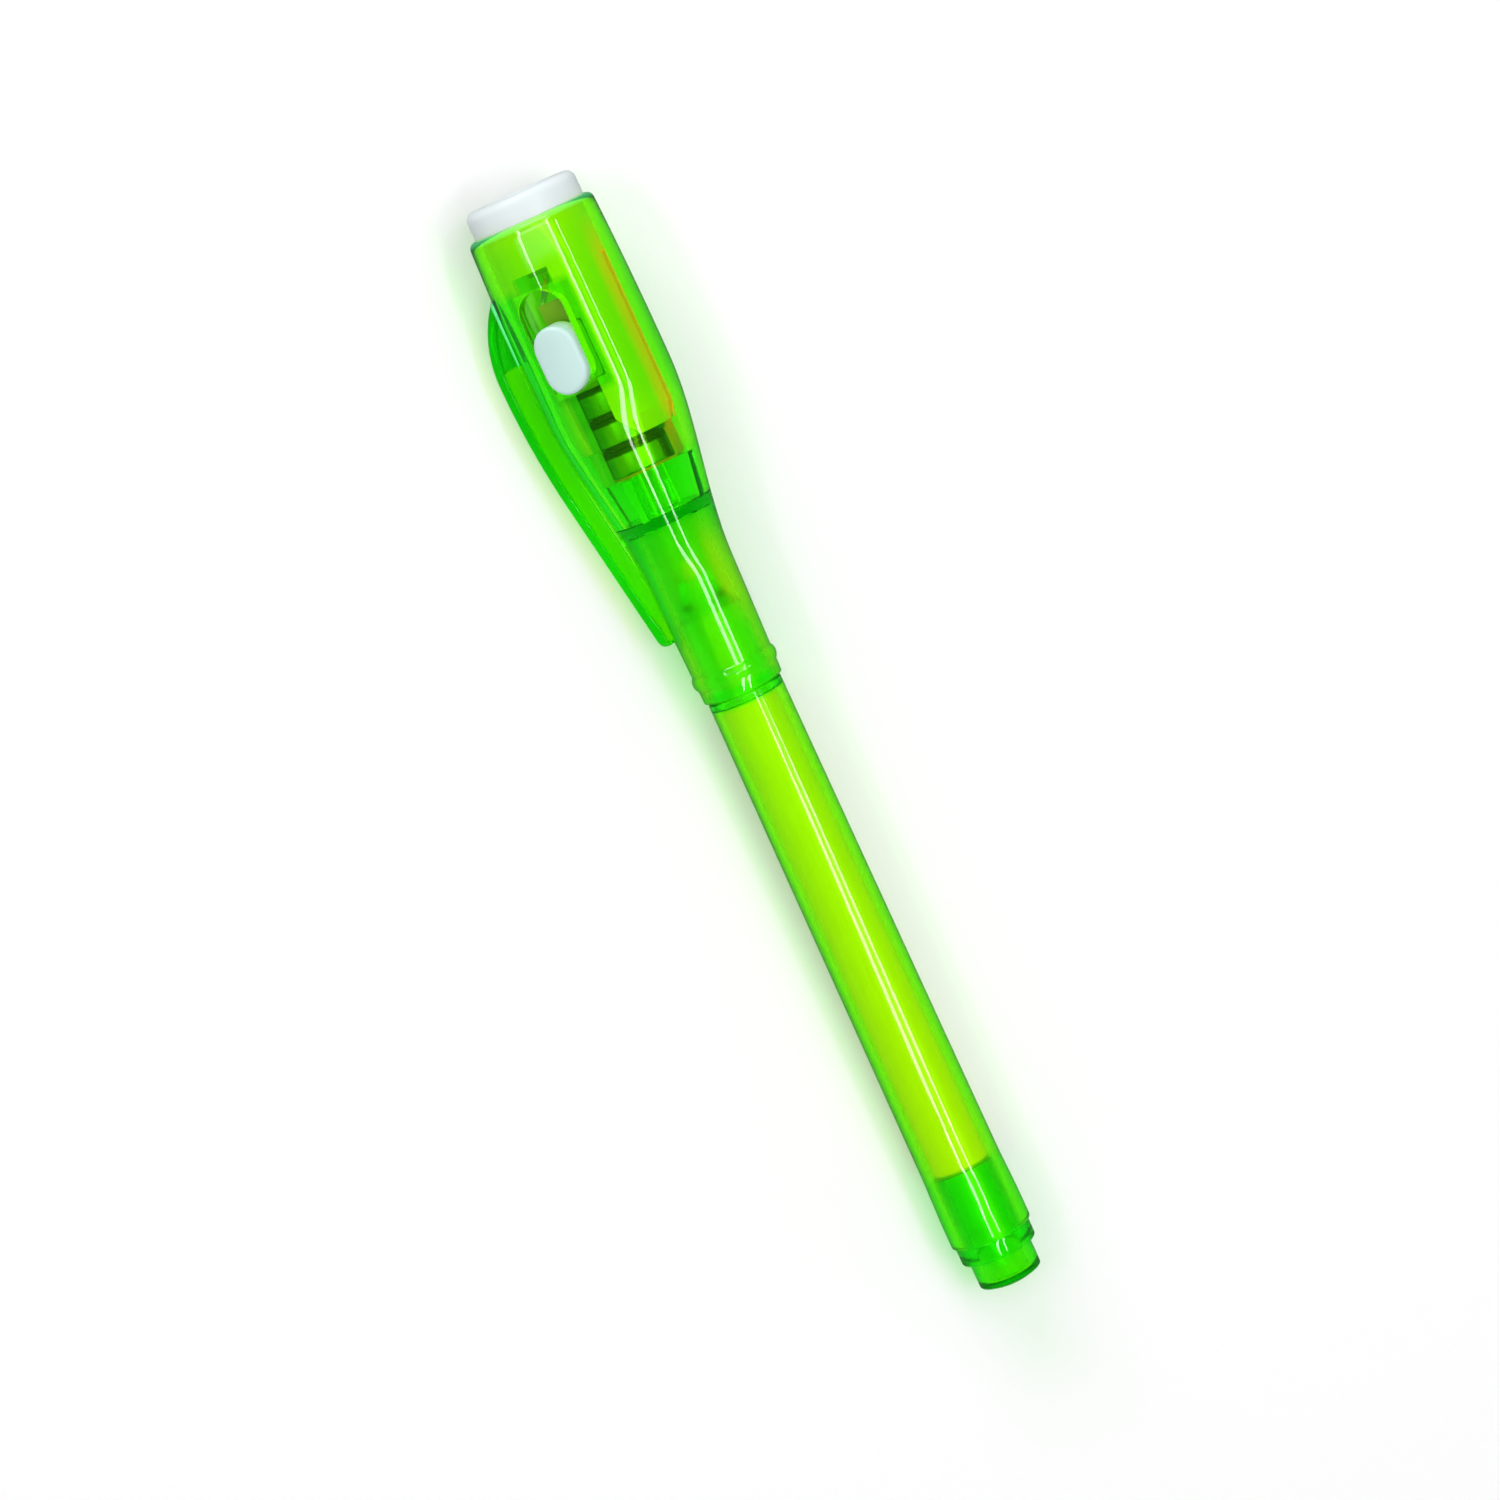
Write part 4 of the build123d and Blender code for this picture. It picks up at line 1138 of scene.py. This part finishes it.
def button_places(f, tone):
    """The button's flange stays under the green wall, and its colour there is painted green shade."""
    _, _, out, _ = f.pen_place()
    flange = f.rise(out, FLANGE_TOP + 0.15, FLANGE_TOP + 0.05)
    return f.mix(flange, tone, (0.15, 0.6, 0.1)), NO_GLOW


holder_white = ((0.76, 0.83, 0.84), (0.71, 0.79, 0.80), 0.32)
wear([holder], moulded_white("white_holder_plastic", *holder_white, holder_places))
button_white = ((0.59, 0.80, 0.76), (0.55, 0.77, 0.73), 0.3)
wear([button], moulded_white("white_button_plastic", *button_white, button_places))
print("White plastic on", holder.name, "and", button.name)

# %% [markdown]
# Fibre and film
#
# The ink store and the nib are bonded fibre: long streaks along the pen, a little yellow in the hollows.
# Noise drawn out along the pen gives the streaks. A wet store also hands light on along its length, and
# looks warmer towards the tail, which is a weak painted glow here. The film round the store is nearly nothing.

# %% Fibre and film
GLOW_FRONT, GLOW_TAIL = 74.0, 24.0


def bonded_fibre(name, colour, hollow, thread, glow=None):
    """Fibres laid along the pen, with darker hollows between them. A painted glow, if given, is a third as strong
    at the front as it is near the tail."""
    material, f = finish(name)
    threads = f.noise(thread, (0.03, 1, 1), 4.0)
    clumps = f.noise(300, (0.2, 1, 1), 2.0)
    lit = f.node("ValToRGB", {0: threads * 0.7 + clumps * 0.3}, {"stops": [(0.3, hollow), (0.62, colour)]})
    feel = f.bump(threads, 0.00006, 0.7)
    sockets = {"Base Color": lit, "Roughness": 0.85 + clumps * 0.1, "Normal": feel}
    if glow:
        to_tail = f.rise(f.pen_place()[0], GLOW_FRONT, GLOW_TAIL)
        sockets["Emission Color"] = f.mix(to_tail, [part / 3 for part in glow], glow)
        sockets["Emission Strength"] = 1.0
    f.painted(sockets)
    return material


def thin_film(name):
    """Clear film: almost open, with a gloss that comes and goes over its wrinkles."""
    material, f = finish(name)
    wrinkle = f.noise(220, (0.15, 1, 1), 3.0)
    feel, gloss = f.bump(wrinkle, 0.00005, 0.4), 0.12 + wrinkle * 0.15
    f.painted({"Base Color": (0.95, 0.98, 0.95), "Roughness": gloss, "Alpha": 0.12, "Normal": feel})
    return material


store_tones = ((0.95, 0.96, 0.86), (0.83, 0.86, 0.7))
# The store's warm glow is painted light.
wear([store], bonded_fibre("ink_store_fibre", *store_tones, 6500, glow=(0.4, 0.04, 0.0)))
wear([nib], bonded_fibre("nib_fibre", (0.93, 0.93, 0.88), (0.78, 0.78, 0.7), 9000))
wear([film], thin_film("store_film"))
print("Fibre in", store.name, "and", nib.name, "with a film round the store")

# %% [markdown]
# Metal, seals and the lamp
#
# The cells' cans are nickel plated, with fine drawn marks. Near the top of each, where it is crimped over its
# black seal, a dark band is painted shade for the dark holder that the bent edge mirrors. In the cap's green
# light they look green, so their tone is painted green light. The lids lie in the shade of the next cell and
# get a darker metal, which is painted shade. The leaf is brass, toned green for the same reason, and the
# leads are tinned. The contact is bronze. Its strip has a painted warm glow that stands in for the orange
# line down the head. One function makes all the metals. The lamp is the same clear plastic as above, with a
# breath of violet.

# %% Metals
def rubbed_metal(name, colour, stain, roughness, metallic=1.0, shape=None, drawn=0.05):
    """Metal with drawn marks, a stain that gathers in patches and a roughness that follows the marks. A shape
    function may paint light and shade: a change of tone and a glow from place to place."""
    material, f = finish(name)
    marks = f.noise(5000, (drawn, 1, 1), 3.0)
    patch = f.noise(420, (1, 1, 1), 4.0)
    tone = f.mix(patch * 0.6, colour, stain)
    feel = f.bump(marks, 0.000008, 0.4)
    sockets = {"Metallic": metallic, "Roughness": roughness + marks * 0.15, "Normal": feel}
    if shape:
        tone, sockets["Emission Color"] = shape(f, tone)
        sockets["Emission Strength"] = 1.0
    f.painted({"Base Color": tone, **sockets})
    return material


def can_places(f, tone):
    """Each can is crimped over its seal; near its top a dark band is painted shade for the dark inside of the
    holder that the bent edge mirrors.
    """
    along = f.pen_place()[0]
    up_can = f.node("Math", {0: along - X_STACK, 1: CELL_HEIGHT}, {"operation": "MODULO"})
    return f.mix(f.rise(up_can, 2.3, 2.5), tone, (0.012, 0.025, 0.01)), NO_GLOW


def strip_places(f, tone):
    """The bronze strip lies right under the wall. A painted warm glow on it stands for warm light that the
    plate below the cells doesn't get.
    """
    along, clipward, _, _ = f.pen_place()
    on_strip = f.rise(clipward, -4.6, -5.2) * f.rise(along, 103.0, 107.0)
    return tone, f.mix(on_strip, NO_GLOW, (0.85, 0.04, 0.0))


nodes = frame["nodes"]
# Painted light: the cans' and the leaf's green tones stand for the cap's green light, and the lids' dark metal
# below is painted shade.
wear(cans, rubbed_metal("nickel_plate", (0.21, 0.44, 0.14), (0.13, 0.29, 0.08), 0.22, shape=can_places))
wear([leaf], rubbed_metal("leaf_brass", (0.27, 0.5, 0.02), (0.18, 0.36, 0.01), 0.35, 0.3))
bronze = rubbed_metal("contact_bronze", (0.95, 0.4, 0.04), (0.8, 0.3, 0.03), 0.5, 0.2, strip_places)
wear([nodes["bottom_contact"]], bronze)
tinned = rubbed_metal("tinned_lead", (0.7, 0.7, 0.68), (0.5, 0.5, 0.5), 0.3, drawn=0.1)
wear([nodes["led_anode_lead"], nodes["led_cathode_lead"]], tinned)
wear(caps, rubbed_metal("nickel_in_shade", (0.05, 0.08, 0.04), (0.03, 0.05, 0.03), 0.4))
print("Metal on", len(cans), "cans,", len(caps), "lids, the leaf, the contact and two leads")

# %% Seals and lamp
def black_seal(name):
    """Dull black rubber-like plastic with a faint bloom."""
    material, f = finish(name)
    bloom = f.noise(900, (1, 1, 1), 3.0)
    tone = f.mix(bloom, (0.008, 0.008, 0.009), (0.03, 0.03, 0.032))
    f.painted({"Base Color": tone, "Roughness": 0.5 + bloom * 0.2})
    return material


wear(gaskets, black_seal("cell_seal_black"))
wear([lamp], clear_plastic("lamp_resin_clear", (0.9, 0.88, 1.0), 500.0, (0.97, 0.96, 1.0)))
print("Black on", len(gaskets), "seals, clear resin on the lamp")

# %% [markdown]
# Table and room
#
# The table is white and dull, so it keeps the pen's soft green shadow. Further off it fades to plain white
# for the camera, so that low views have no grey horizon. The room is an even pale light, and the camera and
# clear plastic see it as plain white. On the real pen the gloss between the white lines is dark, so what
# gloss mirrors of the table and the room is dim.

# %% Table
TABLE_REACH, MIRRORED_TABLE, FADE_START, FADE_END = 3.0, (0.12, 0.12, 0.12), 0.16, 0.42
table_mesh = bpy.data.meshes.new("table")
table_corners = [(x * TABLE_REACH, y * TABLE_REACH, 0) for x, y in ((-1, -1), (1, -1), (1, 1), (-1, 1))]
table_mesh.from_pydata(table_corners, [], [(0, 1, 2, 3)])
table = bpy.data.objects.new("table", table_mesh)
bpy.context.collection.objects.link(table)
table_paint, f = finish("white_table")
paper = f.noise(2500, (1, 1, 1), 2.0)
bright = f.node("BsdfDiffuse", {"Color": f.mix(paper, (0.95, 0.95, 0.95), (0.97, 0.97, 0.97))})
dim = f.node("BsdfDiffuse", {"Color": MIRRORED_TABLE})
away = f.node("VectorMath", {0: f.node("TexCoord", out="Object")}, {"operation": "LENGTH"}, out="Value")
white_room = f.node("Emission", {"Color": CLEAR, "Strength": 1.0})
faded = f.node("MixShader", {0: f.rise(away, FADE_START, FADE_END), 1: bright, 2: white_room})
seen_by = (("Is Glossy Ray", dim), ("Is Transmission Ray", bright), ("Is Camera Ray", faded))
f.node("OutputMaterial", {"Surface": f.by_ray(bright, seen_by)})
wear([table], table_paint)
print("Table", 2 * TABLE_REACH, "m wide, white for the camera from", FADE_END, "m outwards")

# %% Room
FILL, HORIZON, CEILING = 0.32, 0.12, 0.03
HORIZON_HEIGHT, CEILING_HEIGHT = 0.1, 0.7
world = bpy.data.worlds.new("pale_room")
bpy.context.scene.world = world
world.use_nodes = True
f = Finish(world.node_tree)
height = f.node("SeparateXYZ", {0: f.node("TexCoord", out="Generated")}, out="Z")
overhead = f.rise(height, HORIZON_HEIGHT, CEILING_HEIGHT)
seen = f.node("LightPath", out="Is Camera Ray") + f.node("LightPath", out="Is Transmission Ray")
seen = f.node("Clamp", {"Value": seen})
mirrored = f.node("LightPath", out="Is Glossy Ray")
level = FILL + mirrored * (HORIZON - FILL - overhead * (HORIZON - CEILING))
level = level + seen * (1 - level)
f.node("OutputWorld", {"Surface": f.node("Background", {"Color": CLEAR, "Strength": level})})
print("Room light", FILL, "and in gloss", CEILING, "to", HORIZON)

# %% [markdown]
# The camera
#
# The pen is looked at from almost straight above, with the camera leaning a little to the head and to one
# side. It could be moved by eye until it fits. Here it follows from what the picture shows: how the pen's
# axis lies in it, where the pen's middle is and how many pixels a millimetre takes. A long lens keeps both
# ends of the pen at nearly the same scale.

# %% Camera
PIXELS_PER_MM, FRAME_PIXELS, LENS, SENSOR = 8.95, 1500, 120.0, 36.0
AXIS_TURN = math.radians(24.51)
HEADWARD, SIDEWARD = math.radians(6.5), math.radians(6.9)
PEN_AT = (19.7, 4.7)
toward = np.array([math.tan(HEADWARD), math.tan(SIDEWARD), 1.0])
toward /= np.linalg.norm(toward)
axis_seen = AHEAD - (AHEAD @ toward) * toward
axis_seen /= np.linalg.norm(axis_seen)
across_seen = np.cross(axis_seen, toward)
right = -math.sin(AXIS_TURN) * axis_seen + math.cos(AXIS_TURN) * across_seen
upward = math.cos(AXIS_TURN) * axis_seen + math.sin(AXIS_TURN) * across_seen
pen_middle = placed(np.array([X_TOP / 2, 0, 0]))
distance = FRAME_PIXELS / PIXELS_PER_MM / SENSOR * LENS / 1000
aim = pen_middle - (PEN_AT[0] * right + PEN_AT[1] * upward) / PIXELS_PER_MM / 1000


def stood(thing, place, sideways, up, back):
    """Stands a camera or lamp at a place, with its own three axes along the given directions."""
    turn = Matrix((sideways, up, back)).transposed().to_4x4()
    thing.matrix_world = Matrix.Translation(Vector(place)) @ turn


lens = bpy.data.cameras.new("photo_camera")
lens.lens, lens.sensor_width = LENS, SENSOR
lens.clip_start, lens.clip_end = 0.01, 20
camera = bpy.data.objects.new("photo_camera", lens)
bpy.context.collection.objects.link(camera)
stood(camera, aim + toward * distance, right, upward, toward)
bpy.context.scene.camera = camera
print("Camera", round(distance * 1000), "mm from the pen")

# %% [markdown]
# The lamps
#
# Two white lines run down the pen's whole length, and a third down the left of the head. Each is the mirror
# image of a lamp. Painted lines would stay in place when the view moves, so real lamps draw them. The head
# swells and turns the image aside, so each lamp is a chain of straight tubes that steps sideways over the
# head. Two weak strips across the pen make the pale patch at the top of the head, and a soft box ahead
# lights the white light end.

# %% Lamps
TUBE_HEIGHT, TUBE_BREADTH, TUBE_RADIANCE = 0.7, 0.055, 11.0
view_flat = toward - (toward @ AHEAD) * AHEAD
view_flat /= np.linalg.norm(view_flat)
side_flat = np.cross(AHEAD, view_flat)
tube_lines = {
    "near_tube": [(-0.32, -0.02), (-0.195, -0.017), (-0.02, 0.30), (0.15, 0.31), (0.5, 0.39)],
    "far_tube": [(-0.32, 0.27), (-0.195, 0.258), (-0.02, 0.56)],
    "left_tube": [(0.07, -0.44), (0.17, -0.36), (0.5, -0.43)],
}


def tube(name, start, end, height=TUBE_HEIGHT, breadth=TUBE_BREADTH, radiance=TUBE_RADIANCE):
    """A straight lamp between two places over the pen, given in metres ahead and to the right, that faces the
    pen. Its power is radiance times pi times its area."""
    over_pen = pen_middle + view_flat * height
    first, last = (over_pen + AHEAD * ahead + side_flat * side for ahead, side in (start, end))
    middle, run = (first + last) / 2, last - first
    light = bpy.data.lights.new(name, "AREA")
    light.shape, light.size, light.size_y = "RECTANGLE", float(np.linalg.norm(run)), breadth
    light.energy = radiance * math.pi * light.size * light.size_y
    run = run / np.linalg.norm(run)
    back = middle - pen_middle
    back = back - (back @ run) * run
    back = back / np.linalg.norm(back)
    hung = bpy.data.objects.new(name, light)
    bpy.context.collection.objects.link(hung)
    stood(hung, middle, run, np.cross(back, run), back)
    print(name, round(light.energy, 2), "W")


for line_name, line in tube_lines.items():
    for i, (start, end) in enumerate(zip(line, line[1:])):
        tube(f"{line_name}_{i}", start, end)
tube("far_tube_end", (-0.02, 0.56), (0.15, 0.56), breadth=0.03)
tube("pale_strip", (0.105, -0.6), (0.105, 0.28), breadth=0.045, radiance=1.0)
tube("bright_strip", (0.155, -0.45), (0.155, 0.3), breadth=0.05, radiance=3.5)
tube("box_ahead", (1.1, -0.45), (1.1, 0.4), height=0.45, breadth=0.5, radiance=5.0)

bpy.context.scene.view_settings.view_transform = "Standard"
